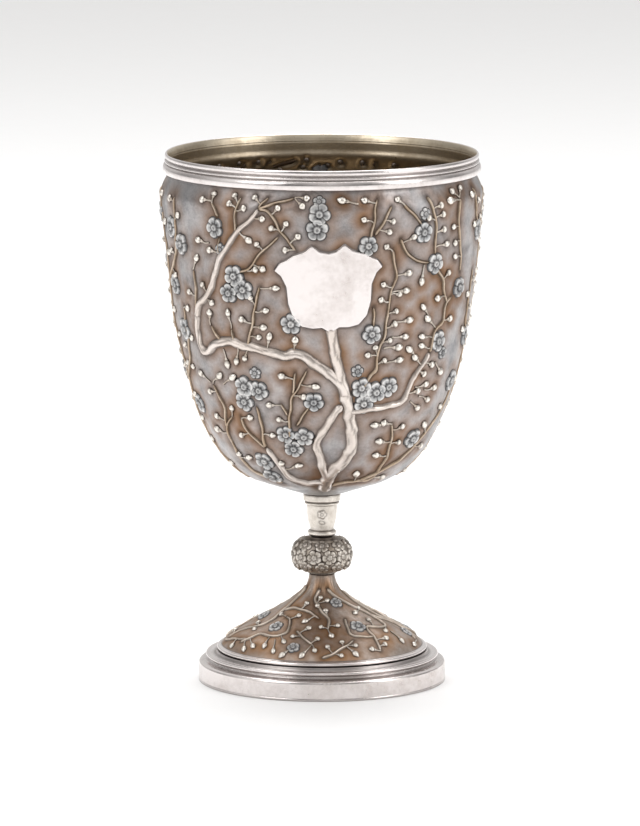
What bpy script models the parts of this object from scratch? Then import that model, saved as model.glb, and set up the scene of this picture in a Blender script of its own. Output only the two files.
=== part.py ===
"""Silver goblet with a prunus tree raised on its bowl, and more blossom on its knop and foot.

Metres, +Z up. The foot stands on z = 0, the axis is the Z axis and the blank shield faces -Y.
Places on the turned walls are given as (degrees round the axis from the front, towards +X when
positive; millimetres up from the table).
"""
import math

import bmesh
import bpy
from mathutils import Matrix, Vector

MM = 0.001
GAP = 0.3 * MM
SINK = 0.6 * MM

# Heights of the stack, from the table up
CUP_HEIGHT = 220.0 * MM
LIP_BOTTOM = 212.0 * MM
BOWL_BOTTOM = 78.2 * MM
KNOP_TOP = 59.9 * MM
KNOP_BOTTOM = 44.5 * MM
FOOT_BEAD_BOTTOM = 12.9 * MM
BAND_HEIGHT = 8.2 * MM

# Bowl: a superellipse wall, drawn in to a straight neck under the lip
WALL = 1.1 * MM
BOWL_RADIUS = 68.5 * MM
BOWL_CENTRE = 359.7 * MM
BOWL_FLOOR = 81.0 * MM
BOWL_FULLNESS = 3.72
BOWL_ROUNDNESS = 3.30
SHOULDER_HEIGHT = 204.0 * MM
NECK_RADIUS = 63.6 * MM
NECK_BOTTOM = 211.6 * MM
SEAT_RADIUS = 8.5 * MM
BLEND_RADIUS = 21.0 * MM

# Foot: radii of the dome's outside, from the neck down to its bead
DOME_HEIGHTS = (44.2, 40.0, 37.0, 33.0, 28.0, 22.0, 17.5, 15.0)
DOME_RADII = (5.2, 6.1, 7.9, 12.8, 21.0, 32.4, 39.3, 41.6)
DOME_WALL = 1.3 * MM
BEAD_RADIUS = 43.5 * MM
BAND_RADIUS = 51.2 * MM
STEP_RADIUS = 48.0 * MM

# Steps round the turned pieces
BOWL_STEPS = 32
RING_STEPS = 32
FOOT_STEPS = 24
STEM_STEPS = 16

# Heights that the raised work stands proud
LIMB_PROUD = 1.5 * MM
TWIG_PROUD = 0.9 * MM
BLOSSOM_PROUD = 1.1 * MM
BUD_PROUD = 1.0 * MM
SHIELD_PROUD = 0.9 * MM
LIMB_STEP = 12.0 * MM
TWIG_STEP = 14.0 * MM

# Cross sections of a raised branch: (share of half its width, share of its height)
LIMB_SECTION = ((-0.5, 1.0), (0.5, 1.0))
TWIG_SECTION = ((0.0, 1.0),)

# Shield: right half of its outline, millimetres from its own centre, from the top dip down
SHIELD_PLACE = (2.7, 171.5)
SHIELD_TURN = 2.0
SHIELD_HALF = (
    (0.0, 15.6), (3.6, 16.4), (6.5, 19.1), (9.4, 16.2), (14.4, 14.6), (17.6, 12.2),
    (20.0, 11.6), (22.1, 8.6), (19.4, 6.2), (17.2, 1.5), (16.7, -5.3), (14.9, -11.2),
    (11.5, -14.9), (7.2, -15.9), (3.4, -15.7), (0.0, -17.9),
)

# Front tree: (width at the root, width at the tip, route), widths in millimetres
TRUNK = (4.9, 3.6, ((3, 86), (6, 93), (13, 100), (15, 108), (12, 120), (8, 132), (5, 145), (3.5, 154)))
FRONT_LIMBS = (
    TRUNK,
    (3.0, 2.6, ((5, 91), (0, 97), (-2.5, 105), (0, 112), (5, 118), (9, 123))),
    (3.9, 2.4, ((9, 129), (2, 137), (-6, 143), (-14, 144), (-24, 146), (-37, 148), (-49, 145),
                (-56, 144), (-57, 153), (-54, 162))),
    (2.4, 1.6, ((-54, 162), (-45, 170), (-41, 180), (-34, 191), (-26, 200), (-18, 206.5), (-10, 210))),
    (2.2, 1.6, ((12, 120), (24, 121), (35, 122), (40, 130), (45, 138), (51, 144))),
    (2.6, 1.6, ((1, 88), (-11, 88.5), (-21, 91), (-27, 100), (-30, 106), (-30, 120))),
)
FRONT_TWIGS = (
    (1.9, 1.1, ((-55, 163), (-56, 178))),
    (1.7, 1.1, ((-24, 202), (-17, 200), (-9, 188))),
    (1.7, 1.1, ((-30, 146), (-27, 158), (-24, 172))),
    (1.7, 1.1, ((-34, 178), (-26, 182), (-16, 193))),
    (1.8, 1.1, ((20, 131), (23, 145), (26, 162), (28, 180), (26, 188))),
    (1.6, 1.1, ((18, 192), (20, 209))),
    (1.7, 1.1, ((44, 206), (46, 192), (38, 182), (30, 191))),
    (1.7, 1.1, ((50, 149), (55, 160), (50, 174))),
    (1.6, 1.1, ((60, 208), (60, 190), (64, 172))),
    (1.8, 1.1, ((-30, 104), (-37, 108), (-41, 117))),
    (1.6, 1.1, ((-16, 112), (-13, 127), (-6, 139))),
    (2.0, 1.1, ((-43, 88), (-54, 100), (-52, 117), (-55, 129))),
    (2.0, 1.1, ((14, 88), (33, 91), (38, 102), (36, 114))),
    (2.0, 1.1, ((34, 90), (50, 96), (64, 106), (76, 118))),
)
FRONT_BLOSSOMS = (
    (-42, 195), (-34, 176), (-38, 169), (-1, 203), (-2, 196.5), (-12, 157), (17, 189.5), (20, 153),
    (46, 178), (63, 168), (53, 147), (17, 130), (24, 128), (-35, 130), (-28, 128), (-35, 123),
    (-4, 124), (-18, 110), (-8, 109), (-35, 96), (53, 106),
)
FRONT_BUDS = (
    (-33, 208), (7, 208), (28, 207), (-18, 196), (-46, 186), (-17, 172), (-22, 162), (26, 198),
    (36, 158), (34, 177), (56, 193), (-47, 134),
)

# Sides: twigs that fill the walls between the front tree and the one behind
SIDE_TWIGS = (
    (2.2, 1.2, ((-78, 88), (-84, 108), (-76, 130), (-82, 152), (-78, 178), (-86, 206))),
    (1.9, 1.2, ((-83, 148), (-96, 162), (-100, 184), (-108, 200))),
    (1.9, 1.2, ((-80, 168), (-68, 182), (-66, 204))),
    (2.0, 1.2, ((86, 88), (92, 110), (84, 132), (92, 156), (86, 182), (90, 206))),
    (1.8, 1.2, ((88, 140), (76, 152), (76, 172))),
)
SIDE_BLOSSOMS = ((-68, 150), (-70, 192), (-98, 176), (-90, 130), (78, 146), (97, 172), (77, 190))

# Back: the front tree's boughs, mirrored half a turn round, thinner in blossom
BACK_TWIGS = FRONT_TWIGS[::3]
BACK_BLOSSOMS = FRONT_BLOSSOMS[::3]
BACK_BUDS = FRONT_BUDS[::3]

# Foot: one spray of twigs, repeated round the dome
FOOT_SPRAYS = 5
FOOT_TWIGS = (
    (1.7, 1.0, ((0, 37), (8, 30), (-4, 24), (10, 19))),
    (1.4, 1.0, ((2, 26), (26, 23), (33, 18.5))),
)
FOOT_BLOSSOM_PLACES = ((28, 29), (-16, 20.5))

# Knop: rings of blossoms, (height, how many, degrees of the first)
KNOP_RINGS = ((55.4, 5, 0.0), (49.2, 5, 36.0))


def clear_scene():
    """Remove every object and leave the rest of the file alone."""
    for existing in list(bpy.data.objects):
        bpy.data.objects.remove(existing, do_unlink=True)


def new_collection(name, parent):
    collection = bpy.data.collections.new(name)
    parent.children.link(collection)
    return collection


def silver(name, colour, roughness):
    """Principled silver in one tone of its patina."""
    material = bpy.data.materials.new(name)
    material.use_nodes = True
    shader = material.node_tree.nodes["Principled BSDF"]
    shader.inputs["Base Color"].default_value = (*colour, 1.0)
    shader.inputs["Roughness"].default_value = roughness
    shader.inputs["Metallic"].default_value = 1.0
    return material


def add_object(name, mesh, collection, material=None):
    body = bpy.data.objects.new(name, mesh)
    collection.objects.link(body)
    if material is not None:
        mesh.materials.append(material)
    return body


def turned(name, profile, steps, collection, material, ring=False):
    """Turn a profile of (radius, height) points about Z; it runs down its outer side."""
    mesh = bpy.data.meshes.new(name)
    points = [(radius, 0.0, height) for radius, height in profile]
    edges = [(i, i + 1) for i in range(len(points) - 1)]
    if ring:
        edges.append((len(points) - 1, 0))
    mesh.from_pydata(points, edges, [])
    body = add_object(name, mesh, collection, material)
    screw = body.modifiers.new("Turned", "SCREW")
    screw.axis = "Z"
    screw.angle = math.tau
    screw.steps = steps
    screw.render_steps = steps
    screw.use_merge_vertices = True
    screw.merge_threshold = 1e-5
    screw.use_smooth_shade = True
    return body


def bowl_radius(height):
    """Outside of the bowl's ground at a height: superellipse, soft floor, shoulder and neck."""
    if height >= SHOULDER_HEIGHT:
        share = min((height - SHOULDER_HEIGHT) / (NECK_BOTTOM - SHOULDER_HEIGHT), 1.0)
        ease = share * share * (3.0 - 2.0 * share)
        return bowl_radius(SHOULDER_HEIGHT - 1e-9) * (1.0 - ease) + NECK_RADIUS * ease
    depth = (BOWL_CENTRE - height) / (BOWL_CENTRE - BOWL_FLOOR)
    return BOWL_RADIUS * max(1.0 - depth ** BOWL_FULLNESS, 0.0) ** (1.0 / BOWL_ROUNDNESS)


def dome_radius(height):
    """Outside of the foot's dome at a height, straight between the named radii."""
    millimetres = height / MM
    rows = list(zip(DOME_HEIGHTS, DOME_RADII))
    for (high, near), (low, far) in zip(rows, rows[1:]):
        if millimetres >= low:
            share = min(max((high - millimetres) / (high - low), 0.0), 1.0)
            return (near + (far - near) * share) * MM
    return DOME_RADII[-1] * MM


def knop_radius(height):
    """Outside of the knop at a height, a flattened ball."""
    middle = 0.5 * (KNOP_TOP + KNOP_BOTTOM)
    half = 0.5 * (KNOP_TOP - KNOP_BOTTOM)
    share = min(abs(height - middle) / half, 1.0)
    return 12.2 * MM * (1.0 - share ** 2.6) ** (1.0 / 2.6)


def place_on(radius_at, degrees, height):
    """Frame on a turned wall: X round it, Y up along it, Z straight out of it."""
    reach = 0.4 * MM
    angle = math.radians(degrees)
    outward = Vector((math.sin(angle), -math.cos(angle), 0.0))
    slope = (radius_at(height + reach) - radius_at(height - reach)) / (2.0 * reach)
    along = (outward * slope + Vector((0.0, 0.0, 1.0))).normalized()
    side = Vector((math.cos(angle), math.sin(angle), 0.0))
    normal = side.cross(along)
    point = outward * radius_at(height) + Vector((0.0, 0.0, height))
    frame = Matrix((side, along, normal)).transposed().to_4x4()
    frame.translation = point
    return frame


def smooth_route(route, step):
    """Points of (degrees, metres up) on a Catmull-Rom curve, about one step apart."""
    knots = [Vector((degrees, height * MM)) for degrees, height in route]
    ends = [2.0 * knots[0] - knots[1]] + knots + [2.0 * knots[-1] - knots[-2]]
    points = []
    for before, start, end, after in zip(ends, ends[1:], ends[2:], ends[3:]):
        sideways = math.radians(end.x - start.x) * 60.0 * MM
        span = math.hypot(sideways, end.y - start.y)
        count = max(1, round(span / step))
        for i in range(count):
            t = i / count
            points.append(0.5 * (
                2.0 * start + (end - before) * t
                + (2.0 * before - 5.0 * start + 4.0 * end - after) * t * t
                + (3.0 * start - before - 3.0 * end + after) * t * t * t))
    points.append(knots[-1])
    return points


def raised_branch(name, radius_at, width, tip_width, route, proud, section, step, collection):
    """Loft a low section along a route on a turned wall, thinner towards the tip."""
    points = smooth_route(route, step)
    frames = [place_on(radius_at, degrees, height) for degrees, height in points]
    places = [frame.translation for frame in frames]
    shape = bmesh.new()
    rings = []
    for i, frame in enumerate(frames):
        share = i / (len(frames) - 1)
        half = 0.5 * MM * (width + (tip_width - width) * share)
        height = proud * (1.0 - 0.35 * share)
        normal = frame.col[2].to_3d()
        ahead = places[min(i + 1, len(places) - 1)] - places[max(i - 1, 0)]
        across = ahead.cross(normal).normalized()
        corners = [(-1.15, -SINK)] + [(x, y * height) for x, y in section] + [(1.15, -SINK)]
        rings.append([
            shape.verts.new(places[i] + across * (half * x) + normal * y) for x, y in corners])
    for ring, following in zip(rings, rings[1:]):
        for j in range(len(ring)):
            k = (j + 1) % len(ring)
            shape.faces.new((ring[j], ring[k], following[k], following[j]))
    shape.faces.new(rings[0])
    shape.faces.new(rings[-1])
    bmesh.ops.recalc_face_normals(shape, faces=shape.faces)
    return finish_cutter(name, shape, Matrix(), collection)


def finish_cutter(name, shape, frame, collection):
    """Turn a bmesh into a hidden object that a Boolean adds to its piece."""
    mesh = bpy.data.meshes.new(name)
    shape.transform(frame)
    shape.to_mesh(mesh)
    shape.free()
    body = add_object(name, mesh, collection)
    body.hide_render = True
    body.display_type = "WIRE"
    return body


def raised_blossom(name, radius_at, degrees, height, radius, proud, turn, corners, collection):
    """Five low petals: a cone of ten corners, every other one pulled in, or of five."""
    shape = bmesh.new()
    bmesh.ops.create_cone(
        shape, cap_ends=True, segments=corners, radius1=radius, radius2=0.62 * radius,
        depth=proud + SINK)
    if corners == 10:
        for vertex in shape.verts:
            angle = math.atan2(vertex.co.y, vertex.co.x)
            share = 0.88 + 0.12 * math.cos(5.0 * angle)
            vertex.co.x *= share
            vertex.co.y *= share
    lift = Matrix.Translation((0.0, 0.0, 0.5 * (proud - SINK)))
    spin = Matrix.Rotation(math.radians(turn), 4, "Z")
    return finish_cutter(name, shape, place_on(radius_at, degrees, height) @ lift @ spin, collection)


def raised_bud(name, radius_at, degrees, height, radius, turn, collection):
    """One closed bud: a five-sided cone, longer than it is wide."""
    shape = bmesh.new()
    bmesh.ops.create_cone(
        shape, cap_ends=True, segments=5, radius1=radius, radius2=0.4 * radius, depth=BUD_PROUD + SINK)
    bmesh.ops.scale(shape, vec=(1.0, 1.35, 1.0), verts=shape.verts)
    lift = Matrix.Translation((0.0, 0.0, 0.5 * (BUD_PROUD - SINK)))
    spin = Matrix.Rotation(math.radians(turn), 4, "Z")
    return finish_cutter(name, shape, place_on(radius_at, degrees, height) @ lift @ spin, collection)


def raised_shield(name, collection):
    """Blank shield: rings of its outline, shrunk to its middle, laid on the bowl's curve."""
    left = [(-x, y) for x, y in reversed(SHIELD_HALF[1:-1])]
    outline = list(SHIELD_HALF) + left
    turn = math.radians(SHIELD_TURN)
    degrees, centre = SHIELD_PLACE
    shape = bmesh.new()

    def laid(x, y, proud):
        across = (x * math.cos(turn) - y * math.sin(turn)) * MM
        height = centre * MM + (x * math.sin(turn) + y * math.cos(turn)) * MM
        frame = place_on(bowl_radius, degrees + math.degrees(across / bowl_radius(height)), height)
        return frame @ Vector((0.0, 0.0, proud))

    rings = []
    for scale, proud in ((0.5, -SINK), (1.02, -SINK), (0.98, SHIELD_PROUD), (0.5, SHIELD_PROUD)):
        rings.append([shape.verts.new(laid(scale * x, scale * y, proud)) for x, y in outline])
    count = len(outline)
    for ring, following in zip(rings, rings[1:]):
        for j in range(count):
            k = (j + 1) % count
            shape.faces.new((ring[j], ring[k], following[k], following[j]))
    for ring, proud in ((rings[0], -SINK), (rings[-1], SHIELD_PROUD)):
        middle = shape.verts.new(laid(0.0, 0.0, proud))
        for j in range(count):
            shape.faces.new((ring[j], ring[(j + 1) % count], middle))
    bmesh.ops.recalc_face_normals(shape, faces=shape.faces)
    return finish_cutter(name, shape, Matrix(), collection)


def join_raised_work(body, collection):
    """Union a piece with every shape in its collection of raised work."""
    union = body.modifiers.new("Raised work", "BOOLEAN")
    union.operation = "UNION"
    union.operand_type = "COLLECTION"
    union.collection = collection
    union.solver = "EXACT"


def build_bowl(parts, cutters, material):
    """The bowl: inside wall up from its floor, over its edge, and down the outside."""
    edge = LIP_BOTTOM + 5.0 * MM
    rows = (84, 88, 94, 103, 115, 132, 152, 176, 204)
    outside = [(NECK_RADIUS, edge), (NECK_RADIUS, NECK_BOTTOM)]
    outside += [(bowl_radius(row * MM), row * MM) for row in reversed(rows)]
    outside += [(BLEND_RADIUS * 0.75, 80.6 * MM), (SEAT_RADIUS, BOWL_BOTTOM), (0.0, BOWL_BOTTOM)]
    inside = [(0.0, BOWL_BOTTOM + WALL), (SEAT_RADIUS, BOWL_BOTTOM + WALL)]
    for row in (84, 91, 103, 123, 152, 204):
        frame = place_on(bowl_radius, 90.0, row * MM)
        point = frame @ Vector((0.0, 0.0, -WALL))
        inside.append((point.x, point.z))
    inside += [(NECK_RADIUS - 0.9 * MM, NECK_BOTTOM), (NECK_RADIUS - 0.9 * MM, edge)]
    bowl = turned("bowl", inside + outside, BOWL_STEPS, parts, material)

    limbs = list(FRONT_LIMBS)
    twigs = list(FRONT_TWIGS) + list(SIDE_TWIGS)
    blossoms = [(degrees, height, 10) for degrees, height in FRONT_BLOSSOMS]
    blossoms += [(degrees, height, 5) for degrees, height in SIDE_BLOSSOMS]
    buds = list(FRONT_BUDS)
    for width, tip_width, route in FRONT_LIMBS:
        limbs.append((width, tip_width, [(180.0 - degrees, height) for degrees, height in route]))
    for width, tip_width, route in BACK_TWIGS:
        twigs.append((width, tip_width, [(180.0 - degrees, height) for degrees, height in route]))
    blossoms += [(180.0 - degrees, height, 5) for degrees, height in BACK_BLOSSOMS]
    buds += [(180.0 - degrees, height) for degrees, height in BACK_BUDS]

    for i, (width, tip_width, route) in enumerate(limbs):
        raised_branch(
            f"limb_{i:02d}", bowl_radius, width, tip_width, route, LIMB_PROUD, LIMB_SECTION,
            LIMB_STEP, cutters)
    for i, (width, tip_width, route) in enumerate(twigs):
        raised_branch(
            f"twig_{i:02d}", bowl_radius, width, tip_width, route, TWIG_PROUD, TWIG_SECTION,
            TWIG_STEP, cutters)
    for i, (degrees, height, corners) in enumerate(blossoms):
        raised_blossom(
            f"blossom_{i:02d}", bowl_radius, degrees, height * MM, 4.4 * MM, BLOSSOM_PROUD,
            31.0 * i, corners, cutters)
    for i, (degrees, height) in enumerate(buds):
        raised_bud(f"bud_{i:02d}", bowl_radius, degrees, height * MM, 1.7 * MM, 47.0 * i, cutters)
    raised_shield("shield", cutters)
    join_raised_work(bowl, cutters)
    return bowl


def build_lip(parts, material):
    """The lip: a bead over the bowl's edge, a fillet and a broad half-round, on a thin skirt."""
    skirt = NECK_RADIUS + GAP
    inner = NECK_RADIUS - 0.9 * MM
    under = LIP_BOTTOM + 5.0 * MM + GAP
    profile = (
        (inner, CUP_HEIGHT - 0.5 * MM),
        (inner + 0.5 * MM, CUP_HEIGHT),
        (64.5 * MM, CUP_HEIGHT - 1.0 * MM),
        (64.2 * MM, 217.5 * MM),
        (64.7 * MM, 216.6 * MM),
        (65.4 * MM, 214.2 * MM),
        (65.0 * MM, LIP_BOTTOM),
        (skirt, LIP_BOTTOM),
        (skirt, under),
        (inner, under),
    )
    return turned("lip_moulding", profile, RING_STEPS, parts, material, ring=True)


def build_sleeve(parts, material):
    """The sleeve: a flange and a fillet under the bowl, a taper, and a ring on the knop."""
    top = BOWL_BOTTOM - GAP
    bottom = KNOP_TOP + GAP
    profile = (
        (0.0, top),
        (7.4 * MM, top),
        (7.7 * MM, top - 0.9 * MM),
        (7.6 * MM, top - 2.8 * MM),
        (6.5 * MM, top - 3.3 * MM),
        (6.8 * MM, top - 4.3 * MM),
        (6.2 * MM, top - 5.4 * MM),
        (5.5 * MM, 66.5 * MM),
        (4.9 * MM, 62.8 * MM),
        (5.8 * MM, 62.0 * MM),
        (5.8 * MM, 60.9 * MM),
        (5.2 * MM, bottom),
        (0.0, bottom),
    )
    return turned("stem_sleeve", profile, STEM_STEPS, parts, material)


def build_knop(parts, cutters, material):
    """The knop: a flattened ball, hollowed round the sleeve's ring, with rings of blossoms."""
    rows = (58.6, 56.8, 54.0, 50.4, 47.6, 45.8)
    profile = [(0.0, KNOP_TOP), (4.6 * MM, KNOP_TOP), (4.8 * MM, 58.0 * MM), (6.4 * MM, 58.4 * MM)]
    profile += [(knop_radius(row * MM), row * MM) for row in rows]
    profile += [(5.4 * MM, KNOP_BOTTOM), (0.0, KNOP_BOTTOM)]
    knop = turned("knop", profile, STEM_STEPS, parts, material)
    for ring, (height, count, first) in enumerate(KNOP_RINGS):
        for i in range(count):
            raised_blossom(
                f"knop_blossom_{ring}_{i}", knop_radius, first + i * 360.0 / count, height * MM,
                2.9 * MM, 0.6 * MM, 20.0 * i, 5, cutters)
    join_raised_work(knop, cutters)
    return knop


def build_foot(parts, cutters, material):
    """The foot: neck and dome of one sheet, open below, with a bead round its edge."""
    outside = [(radius * MM, height * MM) for radius, height in zip(DOME_RADII, DOME_HEIGHTS)]
    bead = [
        (42.2 * MM, 14.4 * MM),
        (43.2 * MM, 14.3 * MM),
        (BEAD_RADIUS, 13.6 * MM),
        (43.1 * MM, FOOT_BEAD_BOTTOM),
        (40.2 * MM, FOOT_BEAD_BOTTOM),
    ]
    inside = []
    for height in (15.0, 24.0, 35.0):
        point = place_on(dome_radius, 90.0, height * MM) @ Vector((0.0, 0.0, -DOME_WALL))
        inside.append((point.x, point.z))
    profile = [(0.0, DOME_HEIGHTS[0] * MM)] + outside + bead + inside + [(0.0, 37.2 * MM)]
    foot = turned("foot", profile, FOOT_STEPS, parts, material)
    for spray in range(FOOT_SPRAYS):
        start = spray * 360.0 / FOOT_SPRAYS
        for i, (width, tip_width, route) in enumerate(FOOT_TWIGS):
            moved = [(start + degrees, height) for degrees, height in route]
            raised_branch(
                f"foot_twig_{spray}_{i}", dome_radius, width, tip_width, moved, 0.8 * MM,
                TWIG_SECTION, 10.0 * MM, cutters)
        for i, (degrees, height) in enumerate(FOOT_BLOSSOM_PLACES):
            raised_blossom(
                f"foot_blossom_{spray}_{i}", dome_radius, start + degrees, height * MM, 3.4 * MM,
                0.8 * MM, 40.0 * i, 5, cutters)
    join_raised_work(foot, cutters)
    return foot


def build_foot_rim(parts, material):
    """The foot's rim: a step with a rounded edge, a hollow, and the plain band."""
    top = FOOT_BEAD_BOTTOM - GAP
    profile = (
        (40.2 * MM, top),
        (44.2 * MM, top),
        (45.6 * MM, 11.9 * MM),
        (STEP_RADIUS, 11.4 * MM),
        (48.0 * MM, 8.8 * MM),
        (50.1 * MM, BAND_HEIGHT),
        (51.0 * MM, 7.4 * MM),
        (BAND_RADIUS, 0.0),
        (47.0 * MM, 0.0),
        (46.6 * MM, 8.6 * MM),
        (40.2 * MM, 11.2 * MM),
    )
    return turned("foot_rim", profile, RING_STEPS, parts, material, ring=True)


def main():
    clear_scene()
    root = bpy.context.scene.collection
    parts = new_collection("silver_goblet", root)
    bowl_work = new_collection("bowl_raised_work", root)
    knop_work = new_collection("knop_raised_work", root)
    foot_work = new_collection("foot_raised_work", root)

    chased = silver("chased_silver", (0.46, 0.42, 0.38), 0.42)
    polished = silver("polished_silver", (0.78, 0.74, 0.71), 0.26)
    knop_silver = silver("knop_silver", (0.44, 0.39, 0.33), 0.45)
    foot_silver = silver("foot_silver", (0.45, 0.36, 0.29), 0.44)

    build_bowl(parts, bowl_work, chased)
    build_lip(parts, polished)
    build_sleeve(parts, polished)
    build_knop(parts, knop_work, knop_silver)
    build_foot(parts, foot_work, foot_silver)
    build_foot_rim(parts, polished)


main()
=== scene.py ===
"""Silver goblet with a prunus tree raised on its bowl: its surfaces and its finishes.

Metres, +Z up. The foot stands on z = 0, the axis is Z and the blank shield faces -Y. A place on a
turned wall is written as (degrees round from the front, millimetres up from the table).
"""

import math

import bpy
import numpy as np
from mathutils import Matrix


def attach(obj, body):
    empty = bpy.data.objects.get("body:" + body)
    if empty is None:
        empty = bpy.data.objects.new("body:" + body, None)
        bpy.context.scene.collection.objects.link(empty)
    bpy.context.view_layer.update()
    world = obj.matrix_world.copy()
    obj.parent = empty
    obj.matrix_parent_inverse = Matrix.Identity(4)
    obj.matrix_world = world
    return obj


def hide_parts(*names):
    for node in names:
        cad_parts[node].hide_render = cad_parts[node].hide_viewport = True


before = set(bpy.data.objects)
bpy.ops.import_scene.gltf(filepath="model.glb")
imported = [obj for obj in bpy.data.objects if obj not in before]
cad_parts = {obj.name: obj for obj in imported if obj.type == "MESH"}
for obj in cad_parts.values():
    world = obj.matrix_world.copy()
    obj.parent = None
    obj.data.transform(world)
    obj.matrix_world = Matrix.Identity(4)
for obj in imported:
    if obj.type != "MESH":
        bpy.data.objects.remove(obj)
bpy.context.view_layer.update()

MM = 0.001
TURN = 2.0 * math.pi

# Bowl, as the solids have it
BOWL_BOTTOM = 78.2
BOWL_RADIUS = 68.5
BOWL_CENTRE = 359.7
BOWL_FLOOR = 81.0
BOWL_FULLNESS = 3.72
BOWL_ROUNDNESS = 3.30
SHOULDER_HEIGHT = 204.0
NECK_RADIUS = 63.6
NECK_BOTTOM = 211.6
BOWL_EDGE = 216.9
WALL = 1.1
NECK_WALL = 0.9
CREASE_HEIGHT = 213.0

# Foot's dome, from its bead up to its neck
DOME_HEIGHTS = (15.0, 17.0, 19.5, 22.0, 25.0, 28.0, 31.0, 34.0, 37.0, 40.0, 43.0, 44.2)
DOME_RADII = (41.4, 39.9, 36.8, 32.4, 26.8, 21.0, 15.8, 11.5, 7.9, 6.1, 5.3, 5.2)
DOME_WALL = 1.3

# Knop
KNOP_TOP = 59.9
KNOP_BOTTOM = 44.5
KNOP_RADIUS = 12.1
KNOP_FULLNESS = 2.6

# How far the raised work stands proud, and how deep it is sunk
LIMB_PROUD = 1.45
TWIG_PROUD = 0.8
TWIG_SLIMNESS = 0.66
BUD_PROUD = 1.05
SHIELD_PROUD = 0.9
SINK = 0.45
SWELL = 0.45
SWELL_REACH = 4.5
BILLOW = 0.16
PUFF = 0.28
PUFF_REACH = 2.6
DENT = 0.75

# Grid of each turned surface, steps round it
BOWL_COLUMNS = 412
MOULDING_COLUMNS = 288
DOME_COLUMNS = 300
KNOP_COLUMNS = 160
SLEEVE_COLUMNS = 144

# Camera
CAMERA_PLACE = (-0.0008, -2.82, 0.561)
CAMERA_AIM = (-0.0008, 0.0, 0.1114)
CAMERA_LENS = 301.0

# Studio air: bright and dark bands round the cup, (degrees from the camera, half width, strength)
STUDIO_BANDS = (
    (-28.0, 14.0, -0.28), (5.0, 10.0, 0.25), (38.0, 12.0, -0.18), (72.0, 16.0, 0.7),
    (-70.0, 18.0, 0.35), (112.0, 18.0, -0.3), (-118.0, 20.0, -0.25),
)

# Shield: right half of its outline, millimetres from its own centre, from the top dip down
SHIELD_PLACE = (2.7, 171.9)
SHIELD_TURN = 2.0
SHIELD_HALF = (
    (0.0, 15.0), (3.6, 15.8), (6.5, 18.2), (9.4, 15.8), (14.4, 14.2), (17.6, 12.2),
    (20.0, 11.2), (22.0, 8.4), (19.4, 6.2), (17.2, 1.5), (16.7, -5.3), (14.9, -11.2),
    (11.5, -14.9), (7.2, -15.9), (3.4, -15.7), (0.0, -17.9),
)

# Tree on the front: (width at its root, width at its tip, places along it)
LIMBS = (
    (5.0, 3.7, ((2.1, 84), (2.7, 86.6), (3.8, 89.9), (6.5, 94), (11, 97.6), (14.2, 102.1), (14.6, 108.6),
                (13.5, 113.3), (11.9, 120.2), (10.1, 126.6), (8, 133.1), (6.6, 137.6), (5.4, 143.6),
                (4.2, 150.6), (3.3, 156.6))),
    (3.2, 2.6, ((3.8, 89.3), (1.5, 93.6), (-1, 99.9), (-2.5, 105.4), (-0.9, 110.3), (2.1, 114),
                (4.8, 118.3), (6.6, 121.1), (9, 123.2))),
    (4.0, 2.6, ((10, 126.6), (8.1, 131.4), (4.4, 135.5), (0.1, 138.7), (-3.7, 141.4), (-6.6, 143.7),
                (-10.9, 145.2), (-14.4, 143.9), (-17.9, 144.4), (-22.2, 145.8), (-26.8, 146.6),
                (-31.7, 147), (-36.5, 148.3), (-42, 148), (-46.4, 146.4), (-50.3, 143.4),
                (-54.1, 142.7), (-56.3, 145.2), (-56, 149.4), (-56.2, 152.7), (-54.9, 158.3))),
    (2.6, 1.6, ((-55.4, 156.6), (-52.8, 162.3), (-49.3, 165.1), (-44.4, 170.8), (-43.1, 175.1),
                (-41, 179.8), (-39.5, 182.9), (-36.6, 187.3), (-33, 192.1), (-30.1, 196),
                (-26.4, 199.2), (-24.1, 201.9), (-22.8, 204.3))),
    (2.4, 1.5, ((11.8, 120.2), (17.5, 120.8), (23.6, 121.3), (29, 121.8), (34.2, 122.4),
                (37.6, 124.8), (39.1, 128.2), (39.9, 132.1), (43.1, 136.3), (47.7, 142.9))),
    (2.7, 1.7, ((2.1, 87.6), (-2.8, 88.8), (-10.4, 88.1), (-21, 91), (-24.2, 95.6), (-26.6, 100),
                (-29.3, 103.8))),
)
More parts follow.
